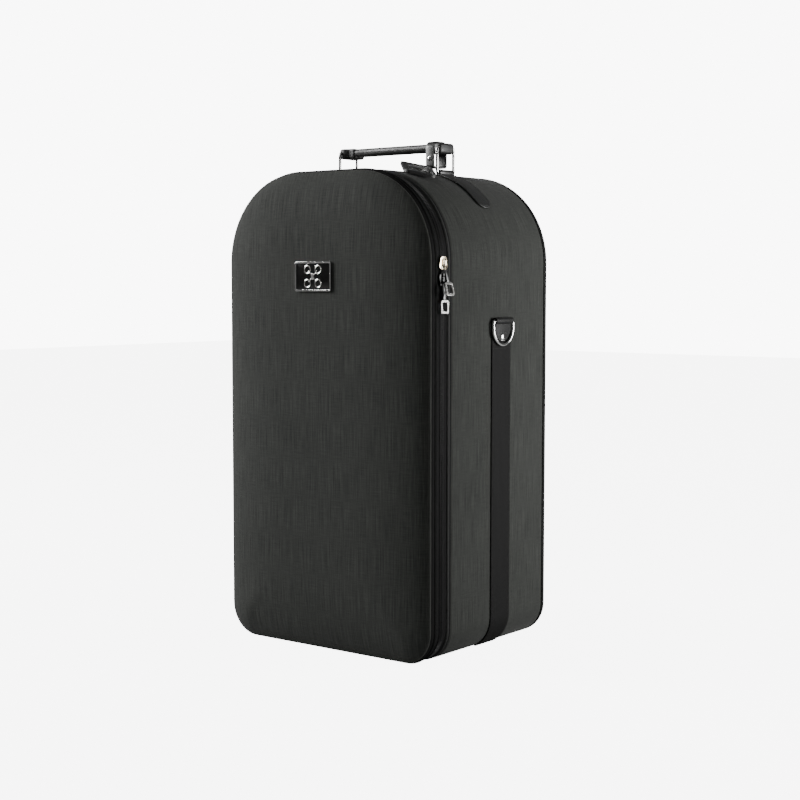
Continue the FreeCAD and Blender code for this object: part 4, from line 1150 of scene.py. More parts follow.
@dataclass
class Lid(Assembly):
    """The crowned lid: cover, lining, corded rim and convoluted foam pad."""

    rim: float = -105.5 * MM
    depth: float = 21 * MM
    run: float = 100 * MM
    power: float = 2.2
    rows: int = 28
    first: float = 0.025
    tuck: tuple[tuple[float, float], ...] = ((5.2, 0.2), (4.2, 0.9), (3.0, 1.9), (2.3, 3.1), (2.1, 4.4))

    def crown(self, name: str, skin: float, outwards: bool) -> bpy.types.Object:
        """A crowned skin with the lid's form.

        Args:
            name: The piece's name.
            skin: How far inside the lid's outer face it lies.
            outwards: Whether its faces point out of the case.

        Returns:
            The skin, with a UV map in metres that is true to the cloth.
        """
        lay = self.outline
        steps = [(skin + inset * MM, rise * MM) for inset, rise in self.tuck]
        smooth_rows = self.rows - len(steps)
        for index in range(smooth_rows + 1):
            share = self.first + (1 - self.first) * (index / smooth_rows) ** 1.9
            rise = (1 - (1 - share) ** self.power) ** (1 / self.power)
            steps.append((skin + share * (self.run - skin), rise * (self.depth - skin)))
        steps.reverse()
        lengths = [0.0]
        for before, after in zip(steps, steps[1:]):
            lengths.append(lengths[-1] + math.dist(before, after))
        piece = Bench.grid(name, lay.length, 1, 320, self.rows)
        layer = piece.data.uv_layers.get("UVMap") or piece.data.uv_layers.new(name="UVMap")
        spots: list[Vector] = []
        flats: list[tuple[float, float]] = []
        for vertex in piece.data.vertices:
            index = round((vertex.co.y + 0.5) * self.rows)
            inset, rise = steps[index]
            x, z = lay.spot(vertex.co.x, -inset)
            spots.append(Vector((x, self.rim - rise, z)))
            flats.append(lay.spot(vertex.co.x, -(self.run - lengths[index])))
        for loop in piece.data.loops:
            layer.data[loop.index].uv = flats[loop.vertex_index]
        for vertex, spot in zip(piece.data.vertices, spots):
            vertex.co = spot
        Bench.close(piece)
        front = self.rim - (self.depth - skin) + 0.01 * MM
        with Bench.editing(piece, "EDGE") as mesh:
            for edge in mesh.edges:
                edge.select_set(edge.is_boundary and all(vertex.co.y < front for vertex in edge.verts))
            bmesh.update_edit_mesh(piece.data)
            bpy.ops.mesh.edge_face_add()
        layer = piece.data.uv_layers["UVMap"]
        for face in piece.data.polygons:
            if len(face.vertices) > 8:
                for index in face.loop_indices:
                    spot = piece.data.vertices[piece.data.loops[index].vertex_index].co
                    layer.data[index].uv = (spot.x, spot.z)
        with Bench.editing(piece, "FACE") as mesh:
            for face in mesh.faces:
                face.select_set(len(face.verts) > 8)
            bmesh.update_edit_mesh(piece.data)
            bpy.ops.mesh.inset(thickness=3 * MM, depth=0)
        Bench.outwards(piece)
        Tub.face_along(piece, Vector((0, -1 if outwards else 1, 0)))
        return Bench.smooth(piece, 60)

    def build(self) -> None:
        """Builds every piece."""
        cover = self.crown("lid_cloth", 0.0, True)
        Bench.apply(cover, "SOLIDIFY", thickness=0.9 * MM, offset=-1)
        self.dress(cover, COVER, Body.LID, "lid_cover")
        lining = self.crown("lid_lining_cloth", 5.2 * MM, False)
        self.dress(lining, TRICOT, Body.LID, "lid_lining")
        cord = self.outline.cord("lid_cord", self.rim + 2.5 * MM, -2.5 * MM, 2.5 * MM)
        # The lid cord's darker finish is painted shade.
        self.dress(cord, LID_PIPING_PAINTED_SHADE, Body.LID, "lid_piping")
        row = Bench.sew("lid_stitches", self.outline.line("lid_line", self.rim - 1.7 * MM, -3.3 * MM))
        self.dress(row, THREAD, Body.LID)
        self.pad()
        self.repaint("lid_shell", BOARD)

    def pad(self) -> None:
        """Builds the convoluted foam pad."""
        lay = self.outline
        inset, crest, root, wave = 20.2 * MM, -78.2 * MM, -119 * MM, 26 * MM
        width, height = 2 * (lay.half - inset), lay.height - 2 * inset
        slab = Bench.grid("pad_waves", width + 20 * MM, height + 20 * MM, 116, 216)
        for vertex in slab.data.vertices:
            bump = math.sin(math.tau * vertex.co.x / wave) * math.sin(math.tau * vertex.co.y / wave)
            vertex.co.z = -crest - (1 - bump) * 6 * MM
        with Bench.editing(slab, "FACE"):
            bpy.ops.mesh.select_all(action="SELECT")
            bpy.ops.mesh.extrude_region_move(TRANSFORM_OT_translate={"value": (0, 0, 0.05)})
        for vertex in slab.data.vertices:
            if vertex.co.z > -crest + 5 * MM:
                vertex.co.z = -root + 4 * MM
        Bench.close(slab)
        form = Bench.plate("pad_form", width, height, -root + crest + 20 * MM, lay.shoulder - inset, 0, 24)
        Bench.place(form, Matrix.Translation((0, 0, -crest - 20 * MM)))
        Bench.close(form)
        Bench.apply(slab, "BOOLEAN", operation="INTERSECT", object=form, solver="EXACT")
        bpy.data.objects.remove(form)
        turn = Matrix.Translation((0, 0, lay.height / 2)) @ UPRIGHT
        Bench.place(slab, turn)
        pad = Bench.smooth(Bench.close(slab), 50)
        pad.name = "lid_foam_pad"
        self.dress(pad, EGG_FOAM, Body.LID, "lid_pad")


@dataclass
class Zip(Assembly):
    """Tapes, coils, end stops and the cloth hinge that fills the zip's gap."""

    middle: float = -91 * MM
    low: float = 72 * MM
    high: float = 438 * MM
    pitch: float = 1.9 * MM

    @property
    def span(self) -> tuple[float, float]:
        """The zip's two ends along the outline, either side of the hinge."""
        lay = self.outline
        return -lay.down(self.high), lay.length - lay.down(self.low)

    def halves(self) -> list[tuple[float, float]]:
        """The zip as two stretches that meet in the middle of the underside."""
        lay = self.outline
        return [(-lay.down(self.high), lay.length / 2), (-lay.length / 2, -lay.down(self.low))]

    def build(self) -> None:
        """Builds every piece."""
        lay = self.outline
        for body, sign, side in ((Body.LID, -1, "lid"), (Body.CASE, 1, "body")):
            edges = sorted((self.middle + sign * 1.2 * MM, self.middle + sign * 9.6 * MM))
            parts = [lay.strip(f"{side}_tape_{i}", *edges, -2.0 * MM, 0.8 * MM, rows=1, span=span)
                     for i, span in enumerate(self.halves())]
            tape = Bench.close(Bench.join(f"{side}_zip_tape", *parts))
            self.dress(Bench.smooth(tape), TAPE, body, f"zip_tape_{side}")
            self.coil(body, sign, side)
            self.seam(body, sign, side)
            self.repaint(f"zip_stops_{side}", NICKEL)
        self.hinge()

    def coil(self, body: Body, sign: int, side: str) -> None:
        """Builds one side's row of coil teeth."""
        lay = self.outline
        rows: list[bpy.types.Object] = []
        for number, (first, last) in enumerate(self.halves()):
            tooth = Bench.box(f"{side}_coil_{number}", (1.05 * MM, 4.3 * MM, 1.5 * MM), (0, 0, 0), 0.28 * MM, 1)
            with Bench.editing(tooth):
                Bench.choose(tooth, "verts", lambda spot: spot.y * sign < 0)
                bpy.ops.transform.resize(value=(0.8, 1, 1.25))
            count = int((last - first) / self.pitch)
            Bench.apply(tooth, "ARRAY", count=count, use_relative_offset=False, use_constant_offset=True,
                        constant_offset_displace=(self.pitch, 0, 0))
            shift = self.pitch / 2 if sign > 0 else 0.0
            start = first + self.pitch * 0.5 + shift * 0.9
            Bench.place(tooth, Matrix.Translation((start, self.middle + sign * 1.75 * MM, -1.75 * MM)))
            rows.append(lay.wrap(tooth))
        coil = Bench.join(f"{side}_zip_coil", *rows)
        self.dress(Bench.smooth(coil, 30), TEETH, body, f"zip_chain_{side}")

    def seam(self, body: Body, sign: int, side: str) -> None:
        """Builds the sewing line along one tape."""
        lay = self.outline
        y, out = self.middle + sign * 7.6 * MM, -1.95 * MM
        rows = [Bench.sew(f"{side}_tape_row_{i}", lay.line(f"{side}_row_{i}", y, out, span), 2.6 * MM, 0.45 * MM)
                for i, span in enumerate(self.halves())]
        self.dress(Bench.join(f"{side}_tape_stitches", *rows), THREAD, body)

    def hinge(self) -> None:
        """Builds the cloth hinge: one sheet that spans the gap between both rims, attached to no body."""
        lay = self.outline
        first, last = -lay.down(self.low), -lay.down(self.high)
        sheet = lay.strip("hinge_cloth", self.middle - 9.6 * MM, self.middle + 9.6 * MM, -1.6 * MM, 0, rows=24,
                          span=(first, last), pitch=8 * MM)
        sheet.data.materials.clear()
        sheet.data.materials.append(TAPE.material())
        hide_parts("hinge_gusset_lid", "hinge_gusset_body")
        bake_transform(sheet)
        self.count += 1
        LOG.info("%-22s %-14s %6d faces", sheet.name, "case to lid", len(sheet.data.polygons))


@dataclass
class NamePlate(Assembly):
    """Metal frame, black inlay and a plain emblem of a four-rotor drone."""

    face: float = -126.5 * MM
    centre: tuple[float, float] = (-5 * MM, 437 * MM)
    size: tuple[float, float] = (54 * MM, 34 * MM)

    def stand(self, proud: float) -> Matrix:
        """The plate's own frame: X across, Y up, Z out of the lid."""
        spot = Matrix.Translation((self.centre[0], self.face - proud, self.centre[1]))
        return spot @ UPRIGHT

    def build(self) -> None:
        """Builds every piece."""
        width, height = self.size
        rim = Bench.plate("plate_frame", width, height, 2.4 * MM, 2.5 * MM, 0)
        with Bench.editing(rim, "FACE"):
            Bench.choose(rim, "faces", lambda spot: spot.z > 2.3 * MM)
            bpy.ops.mesh.inset(thickness=1.9 * MM, depth=0)
            bpy.ops.mesh.inset(thickness=0.25 * MM, depth=-1.5 * MM)
        Bench.soften(rim, 0.45 * MM, 3, 40)
        Bench.place(Bench.smooth(rim, 35), self.stand(0))
        self.dress(rim, CHROME, Body.LID, "name_plate")
        inlay = Bench.plate("plate_black", width - 4.6 * MM, height - 4.6 * MM, 0.7 * MM, 1.4 * MM, 0.15 * MM)
        Bench.place(inlay, self.stand(0.85 * MM))
        self.dress(inlay, INLAY, Body.LID, "plate_inlay")
        self.emblem()

    def emblem(self) -> None:
        """Builds the emblem: four rings on crossed arms with a small hull."""
        parts: list[bpy.types.Object] = []
        reach = 8.0 * MM
        for x, y in ((-1, -1), (1, -1), (1, 1), (-1, 1)):
            Bench.pick()
            bpy.ops.mesh.primitive_torus_add(major_radius=4.4 * MM, minor_radius=0.65 * MM, major_segments=40,
                                             minor_segments=8, location=(x * reach, y * reach, 1.75 * MM))
            parts.append(Bench.take("rotor"))
            arm = Bench.box("arm", (2 * reach * 0.72, 1.1 * MM, 0.7 * MM), (reach * 0.36, 0, 1.75 * MM), 0.15 * MM)
            parts.append(Bench.place(arm, Matrix.Rotation(math.atan2(y, x), 4, "Z")))
        hull = Bench.plate("hull", 4.6 * MM, 7.4 * MM, 1.1 * MM, 2.0 * MM, 0.3 * MM)
        parts.append(Bench.place(hull, Matrix.Translation((0, 0, 1.35 * MM))))
        emblem = Bench.join("drone_emblem", *parts)
        Bench.place(emblem, self.stand(0))
        self.dress(Bench.smooth(emblem), NICKEL, Body.LID, "plate_emblem")


@dataclass
class Slider(Assembly):
    """A zip slider with its bail, and the pull that hangs from it."""

    name: str = "upper"
    finish: Finish = PALE_GOLD
    body: Body = Body.SLIDER_UPPER
    pull_body: Body = Body.PULL_UPPER
    nose: int = -1
    lean: float = 14.0
    link: float = 19.6 * MM
    ring: float = 15.4 * MM
    eye: float = 14.4 * MM

    def build(self) -> None:
        """Builds every piece."""
        low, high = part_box(f"{self.name}_slider")
        middle = Vector(((low[0] + high[0]) / 2, (low[1] + high[1]) / 2, (low[2] + high[2]) / 2))
        length, width = high[2] - low[2], high[1] - low[1] + 5.6 * MM
        top = high[0] - 2.8 * MM
        stand = Matrix.Translation((top - 1.4 * MM, middle.y, middle.z)) @ Matrix.Rotation(math.pi / 2, 4, "Y")
        plates: list[bpy.types.Object] = []
        for name, lift, thick, bevel in (("top", 0.0, 1.4 * MM, 0.45 * MM), ("foot", -3.7 * MM, 0.8 * MM, 0.25 * MM)):
            plate = Bench.loop(name, length, width, width * 0.3, width * 0.3, 5, filled=True)
            with Bench.editing(plate):
                Bench.choose(plate, "verts", lambda spot: spot.x * self.nose > 0.15 * length)
                bpy.ops.transform.resize(value=(1, 0.8, 1))
            Bench.soften(Bench.thicken(plate, thick), bevel, 3, 50)
            plates.append(Bench.place(plate, Matrix.Translation((0, 0, lift))))
        plates.append(Bench.box("post", (4 * MM, 0.8 * MM, 3.8 * MM), (self.nose * 4.5 * MM, 0, -1.6 * MM), 0.2 * MM))
        bail = Bench.loop("bail", 8.4 * MM, 5.0 * MM, 1.9 * MM, 0.6 * MM, 6)
        bail = Bench.wire(bail, 0.55 * MM, 3)
        Bench.apply(bail, "SOLIDIFY", thickness=0.0002, offset=0)
        with Bench.editing(bail):
            bpy.ops.mesh.select_all(action="SELECT")
            bpy.ops.transform.resize(value=(1, 1, 2.4))
        plates.append(Bench.place(bail, Matrix.Translation((0, 0, 1.2 * MM)) @ UPRIGHT
                                  @ Matrix.Translation((0, 0.5 * MM, 0))))
        slider = Bench.join(f"{self.name}_zip_slider", *plates)
        Bench.place(slider, stand)
        self.dress(Bench.smooth(slider, 35), self.finish, self.body, f"{self.name}_slider")
        self.pull(Vector((top + 0.95 * MM, middle.y, middle.z - 2.3 * MM)))

    def pull(self, pivot: Vector) -> None:
        """Builds the forked link and the end ring, hanging from the bail."""
        stand = Matrix.Translation(pivot) @ Matrix.Rotation(-math.radians(self.lean), 4, "Y")
        hang = stand @ SIDE_ON
        yoke = Bench.loop("yoke", 5.8 * MM, 6.6 * MM, 1.4 * MM, 1.0 * MM, 5)
        yoke = Bench.wire(yoke, 0.62 * MM, 3)
        Bench.place(yoke, Matrix.Translation((0, -3.3 * MM, 0)))
        shank = Bench.plate("shank", 4.6 * MM, self.link - 5.5 * MM, 1.4 * MM, 1.2 * MM, 0.35 * MM)
        with Bench.editing(shank):
            Bench.choose(shank, "verts", lambda spot: spot.y > 0)
            bpy.ops.transform.resize(value=(0.72, 1, 1))
        Bench.place(shank, Matrix.Translation((0, -(self.link + 5.5 * MM) / 2, -0.7 * MM)))
        link = Bench.join(f"{self.name}_pull_fork", yoke, shank)
        Bench.place(link, hang)
        self.dress(Bench.smooth(link, 35), GUNMETAL, self.pull_body, f"{self.name}_pull_link")
        eye = Bench.plate("eye", self.eye, self.ring, 2.0 * MM, 3.0 * MM, 0, 6)
        with Bench.editing(eye, "FACE"):
            for sign in (1, -1):
                Bench.choose(eye, "faces", lambda spot: abs(spot.x) < 0.2 * MM
                             and (spot.z - 0.9 * MM) * sign > 0.8 * MM)
                bpy.ops.mesh.inset(thickness=2.9 * MM, depth=0)
            Bench.choose(eye, "faces", lambda spot: abs(spot.x) < 0.2 * MM and abs(spot.y) < 1 * MM
                         and abs(spot.z - 0.9 * MM) > 0.8 * MM)
            bpy.ops.mesh.bridge_edge_loops()
        Bench.soften(eye, 0.4 * MM, 3, 40)
        Bench.place(eye, Matrix.Translation((0, -self.link - self.ring / 2, -0.9 * MM)))
        Bench.place(eye, hang)
        self.dress(Bench.smooth(eye, 35), NICKEL, self.pull_body, f"{self.name}_pull_ring")


@dataclass
class SideStrap(Assembly):
    """Webbing down one side, with its D-ring, leather keeper and rivet."""

    side: Side = Side.RIGHT
    y: float = 22 * MM
    width: float = 38 * MM
    thick: float = 1.6 * MM
    top: float = 388 * MM
    bar: float = 386 * MM
    rivet: float = 367 * MM
    wire: float = 1.8 * MM
    margin: float = 2.4 * MM

    def build(self) -> None:
        """Builds every piece."""
        lay, sign = self.outline, self.side.value
        tail = self.side.name.lower()
        first = lay.down(self.top)
        last = lay.down(lay.corner) + math.radians(64) * lay.corner
        strap = Bench.grid("strap", last - first, self.width, round((last - first) / (4 * MM)), 8)
        Bench.place(strap, Matrix.Translation(((first + last) / 2, self.y, 0)))
        Bench.flat_uv(strap)
        Bench.soften(Bench.thicken(strap, self.thick), 0.45 * MM)
        self.mirror(lay.wrap(strap))
        strap.name = f"strap_{tail}"
        self.dress(Bench.smooth(strap), WEBBING, Body.CASE, f"side_strap_{tail}")
        rows = []
        for number, y in enumerate((-1, 1)):
            edge = lay.line(f"row_{number}", self.y + y * (self.width / 2 - self.margin), self.thick,
                            (first + 2 * MM, last - 3 * MM))
            rows.append(self.mirror(Bench.sew(f"row_{number}", edge, 3.2 * MM, 0.55 * MM)))
        for number, s in enumerate((first + 34 * MM, last - 5 * MM)):
            rows.append(self.cross_row(s, number))
        self.dress(Bench.join(f"strap_stitches_{tail}", *rows), THREAD, Body.CASE)
        self.ring(tail, sign)
        self.keeper(tail)
        self.rivet_dome(tail, sign)

    def mirror(self, piece: bpy.types.Object) -> bpy.types.Object:
        """Puts a right-hand piece on this side."""
        return Bench.flip(piece) if self.side is Side.LEFT else piece

    def cross_row(self, s: float, number: int) -> bpy.types.Object:
        """A row of stitches across the strap."""
        half = self.width / 2 - self.margin
        x, z = self.outline.spot(s, self.thick)
        line = Bench.rail(f"cross_{number}", (0.001, 2 * half), (1, 8))
        Bench.place(line, Matrix.Translation((x + 0.5 * MM, self.y, z)))
        return self.mirror(Bench.sew(f"cross_{number}", line, 3.2 * MM, 0.55 * MM))

    def ring(self, tail: str, sign: int) -> None:
        """Builds the D-ring, hanging from its bar."""
        height = 28 * MM
        loop = Bench.loop(f"d_ring_{tail}", 40 * MM, height, 3.6 * MM, 19.9 * MM, 14)
        piece = Bench.wire(loop, self.wire, 5)
        x = self.outline.half + self.thick + 0.3 * MM + self.wire
        spot = Matrix.Translation((sign * x, self.y, self.bar - height / 2))
        Bench.place(piece, spot @ SIDE_ON)
        body = Body.DRING_RIGHT if self.side is Side.RIGHT else Body.DRING_LEFT
        self.dress(piece, CHROME, body, f"dring_{tail}")

    def keeper(self, tail: str) -> None:
        """Builds the leather loop round the D-ring's bar and its sewn tongue."""
        x = self.outline.half + self.thick
        radius = self.wire + 0.3 * MM + self.thick
        tongue = Bench.loop("tongue", 32 * MM, 24 * MM, 1 * MM, 15.8 * MM, 14, filled=True)
        Bench.soften(Bench.thicken(tongue, self.thick), 0.4 * MM)
        Bench.place(tongue, Matrix.Translation((x, self.y, self.bar - 12 * MM)) @ SIDE_ON)
        Bench.pick()
        bpy.ops.mesh.primitive_cylinder_add(vertices=36, radius=radius, depth=35 * MM, end_fill_type="NOTHING",
                                            location=(x + 0.3 * MM + self.wire, self.y, self.bar),
                                            rotation=(math.pi / 2, 0, 0))
        roll = Bench.take("roll")
        with Bench.editing(roll, "FACE"):
            Bench.choose(roll, "faces", lambda spot: spot.x < x + 0.25 * MM)
            bpy.ops.mesh.delete(type="FACE")
            bpy.ops.mesh.select_all(action="SELECT")
            bpy.ops.mesh.normals_make_consistent(inside=False)
        Tub.face_along(roll, Vector((1, 0, 0)))
        Bench.apply(roll, "SOLIDIFY", thickness=self.thick, offset=-1)
        Bench.soften(roll, 0.35 * MM)
        keeper = Bench.join(f"keeper_{tail}", tongue, roll)
        self.mirror(keeper)
        self.dress(Bench.smooth(keeper), KEEPER, Body.CASE, f"ring_keeper_{tail}")
        line = Bench.loop("keeper_line", 28 * MM, 21 * MM, 0.8 * MM, 13.8 * MM, 12)
        Bench.place(line, Matrix.Translation((x + self.thick, self.y, self.bar - 12.4 * MM)) @ SIDE_ON)
        row = self.mirror(Bench.sew(f"keeper_stitches_{tail}", line, 2.8 * MM, 0.5 * MM))
        self.dress(row, LEATHER_THREAD, Body.CASE)

    def rivet_dome(self, tail: str, sign: int) -> None:
        """Builds the domed rivet on the keeper's tongue."""
        dome = Bench.dome(f"rivet_{tail}", 4.5 * MM, 0.34, (32, 16))
        x = sign * (self.outline.half + 2 * self.thick)
        Bench.place(dome, Matrix.Translation((x, self.y, self.rivet)) @ Matrix.Rotation(sign * math.pi / 2, 4, "Y"))
        nodes = ("strap_rivets",) if self.side is Side.RIGHT else ()
        self.dress(Bench.smooth(dome, 50), CHROME, Body.CASE, *nodes)


@dataclass
class Handle(Assembly):
    """Leather anchors, wire rings and the padded grip."""

    y: float = 20 * MM
    ring_x: float = 74 * MM
    low: float = 558.991 * MM
    rise: float = 29.6 * MM
    wire: float = 1.7 * MM
    strip: float = 2.6 * MM
    width: float = 28 * MM
    grip_thick: float = 9.6 * MM

    def build(self) -> None:
        """Builds every piece."""
        for side in Side:
            self.ring(side)
            self.anchor(side)
        self.grip()
        self.repaint("anchor_rivets", STEEL)
        self.repaint("grip_core", STEEL)

    def ring(self, side: Side) -> None:
        """Builds one wire ring."""
        loop = Bench.loop(f"handle_wire_{side.name.lower()}", 32.8 * MM, self.rise, 3 * MM, 3 * MM, 10)
        piece = Bench.wire(loop, self.wire, 5)
        spot = Matrix.Translation((side.value * self.ring_x, self.y, self.low + self.rise / 2))
        Bench.place(piece, spot @ SIDE_ON)
        body = Body.RING_RIGHT if side is Side.RIGHT else Body.RING_LEFT
        self.dress(piece, CHROME, body, f"handle_ring_{side.name.lower()}")

    def anchor(self, side: Side) -> None:
        """Builds one leather anchor: a strap sewn down the shoulder and rolled round the ring's bar."""
        lay, tail = self.outline, side.name.lower()
        first, last = lay.along((90 - 75.5) / 90), lay.along((90 - 36) / 90)
        strap = Bench.loop("anchor_strap", self.width, last - first, 1 * MM, self.width * 0.42, 12, filled=True)
        middle, quarter = (first + last) / 2, Matrix.Rotation(math.pi / 2, 4, "Z")
        Bench.place(strap, Matrix.Translation((middle, self.y, 0)) @ quarter)
        stations = [first + (last - first) * step / 16 for step in range(1, 16)]
        Bench.soften(Bench.thicken(Bench.divide(strap, stations), self.strip), 0.7 * MM, 3)
        lay.wrap(strap)
        skin = 1.6 * MM
        Bench.pick()
        bpy.ops.mesh.primitive_cylinder_add(vertices=36, radius=self.wire + 0.3 * MM + skin, depth=self.width,
                                            end_fill_type="NOTHING", location=(self.ring_x, self.y, self.low),
                                            rotation=(math.pi / 2, 0, 0))
        roll = Bench.take("anchor_roll")
        with Bench.editing(roll, "FACE"):
            Bench.choose(roll, "faces", lambda spot: spot.z < lay.spot(first, 0)[1] - 0.1 * MM)
            bpy.ops.mesh.delete(type="FACE")
        Tub.face_along(roll, Vector((0, 0, 1)))
        Bench.apply(roll, "SOLIDIFY", thickness=skin, offset=-1)
        Bench.soften(roll, 0.4 * MM)
        anchor = Bench.join(f"handle_anchor_{tail}", strap, roll)
        line = Bench.loop("anchor_line", self.width - 4.6 * MM, last - first - 6 * MM, 0.8 * MM,
                          self.width * 0.36, 10)
        Bench.place(line, Matrix.Translation((middle + 0.6 * MM, self.y, self.strip)) @ quarter)
        Bench.divide(line, stations)
        row = Bench.sew(f"anchor_stitches_{tail}", lay.wrap(line), 3.0 * MM, 0.55 * MM)
        for piece, finish, nodes in ((anchor, LEATHER, (f"anchor_{tail}",)), (row, LEATHER_THREAD, ())):
            if side is Side.LEFT:
                Bench.flip(piece)
            self.dress(Bench.smooth(piece), finish, Body.CASE, *nodes)

    def grip(self) -> None:
        """Builds the padded grip with its two folded ends."""
        top = self.low + self.rise
        pad = Bench.box("grip_padding", (136 * MM, 19.4 * MM, self.grip_thick - 0.8 * MM), (0, 0, 0), 3.4 * MM, 4)
        Bench.divide(pad, [(step / 34 - 0.5) * 136 * MM for step in range(1, 34)])
        self.swell(pad)
        Bench.place(pad, Matrix.Translation((0, self.y, top)))
        self.dress(Bench.smooth(pad, 60), LEATHER, Body.GRIP, "handle_grip")
        rows: list[bpy.types.Object] = []
        for sign in (-1, 1):
            line = Bench.rail("grip_line", (118 * MM, 0.001), (40, 1))
            Bench.place(line, Matrix.Translation((0, self.y + sign * 9.9 * MM, top)))
            rows.append(Bench.sew("grip_row", line, 3.2 * MM, 0.6 * MM))
        self.dress(Bench.join("grip_stitches", *rows), LEATHER_THREAD, Body.GRIP)
        for side in Side:
            self.grip_end(side, top)

    def swell(self, pad: bpy.types.Object) -> None:
        """Inflates the padding a little with a short cloth run, so that the leather rounds and puckers."""
        Bench.apply(pad, "REMESH", mode="VOXEL", voxel_size=1.7 * MM)
        before = [vertex.co.copy() for vertex in pad.data.vertices]
        Bench.pick(pad)
        cloth = pad.modifiers.new("cloth", "CLOTH")
        cloth.settings.quality = 4
        cloth.settings.use_pressure = True
        cloth.settings.uniform_pressure_force = 4
        cloth.settings.effector_weights.gravity = 0
        cloth.settings.tension_stiffness = 20
        cloth.settings.bending_stiffness = 2
        for step in range(1, 21):
            bpy.context.scene.frame_set(step)
        bpy.ops.object.modifier_apply(modifier=cloth.name)
        bpy.context.scene.frame_set(1)
        for vertex, start in zip(pad.data.vertices, before):
            move = vertex.co - start
            if move.length > 0.4 * MM:
                vertex.co = start + move.normalized() * 0.4 * MM
        Bench.apply(pad, "SMOOTH", factor=0.5, iterations=3)

    def grip_end(self, side: Side, top: float) -> None:
        """Builds one end: leather folded round the ring's bar and sewn over the padding."""
        half, narrow, outer, inner = 14 * MM, 10.4 * MM, self.ring_x + 3.6 * MM, 56 * MM
        size = (outer - inner, 2 * half, self.grip_thick + 3.0 * MM)
        flap = Bench.box("grip_flap", size, ((outer + inner) / 2, 0, -1.0 * MM), 3.3 * MM, 4)
        Bench.divide(flap, [x * MM for x in (60, 63, 66, 68.5, 71)])
        for vertex in flap.data.vertices:
            x = vertex.co.x
            share = min(1.0, max(0.0, (x - 64 * MM) / (6 * MM)))
            wide = narrow + (half - narrow) * share * share * (3 - 2 * share)
            vertex.co.y *= wide / half
        Bench.pick()
        bpy.ops.mesh.primitive_cylinder_add(vertices=32, radius=self.wire + 0.3 * MM, depth=60 * MM,
                                            location=(self.ring_x, 0, 0), rotation=(math.pi / 2, 0, 0))
        bore = Bench.take("bore")
        Bench.apply(flap, "BOOLEAN", operation="DIFFERENCE", object=bore, solver="EXACT")
        bpy.data.objects.remove(bore)
        Bench.place(flap, Matrix.Translation((0, self.y, top)))
        line = Bench.rail("end_line", (0.001, 17 * MM), (1, 8))
        Bench.place(line, Matrix.Translation((59.5 * MM, self.y, top + self.grip_thick / 2 + 0.2 * MM)))
        row = Bench.sew("end_row", line, 2.8 * MM, 0.6 * MM)
        tail = side.name.lower()
        for piece, name, finish in ((flap, f"grip_end_{tail}", TAG_LEATHER),
                                    (row, f"grip_end_stitches_{tail}", LEATHER_THREAD)):
            piece.name = name
            if side is Side.LEFT:
                Bench.flip(piece)
            self.dress(Bench.smooth(piece), finish, Body.GRIP)


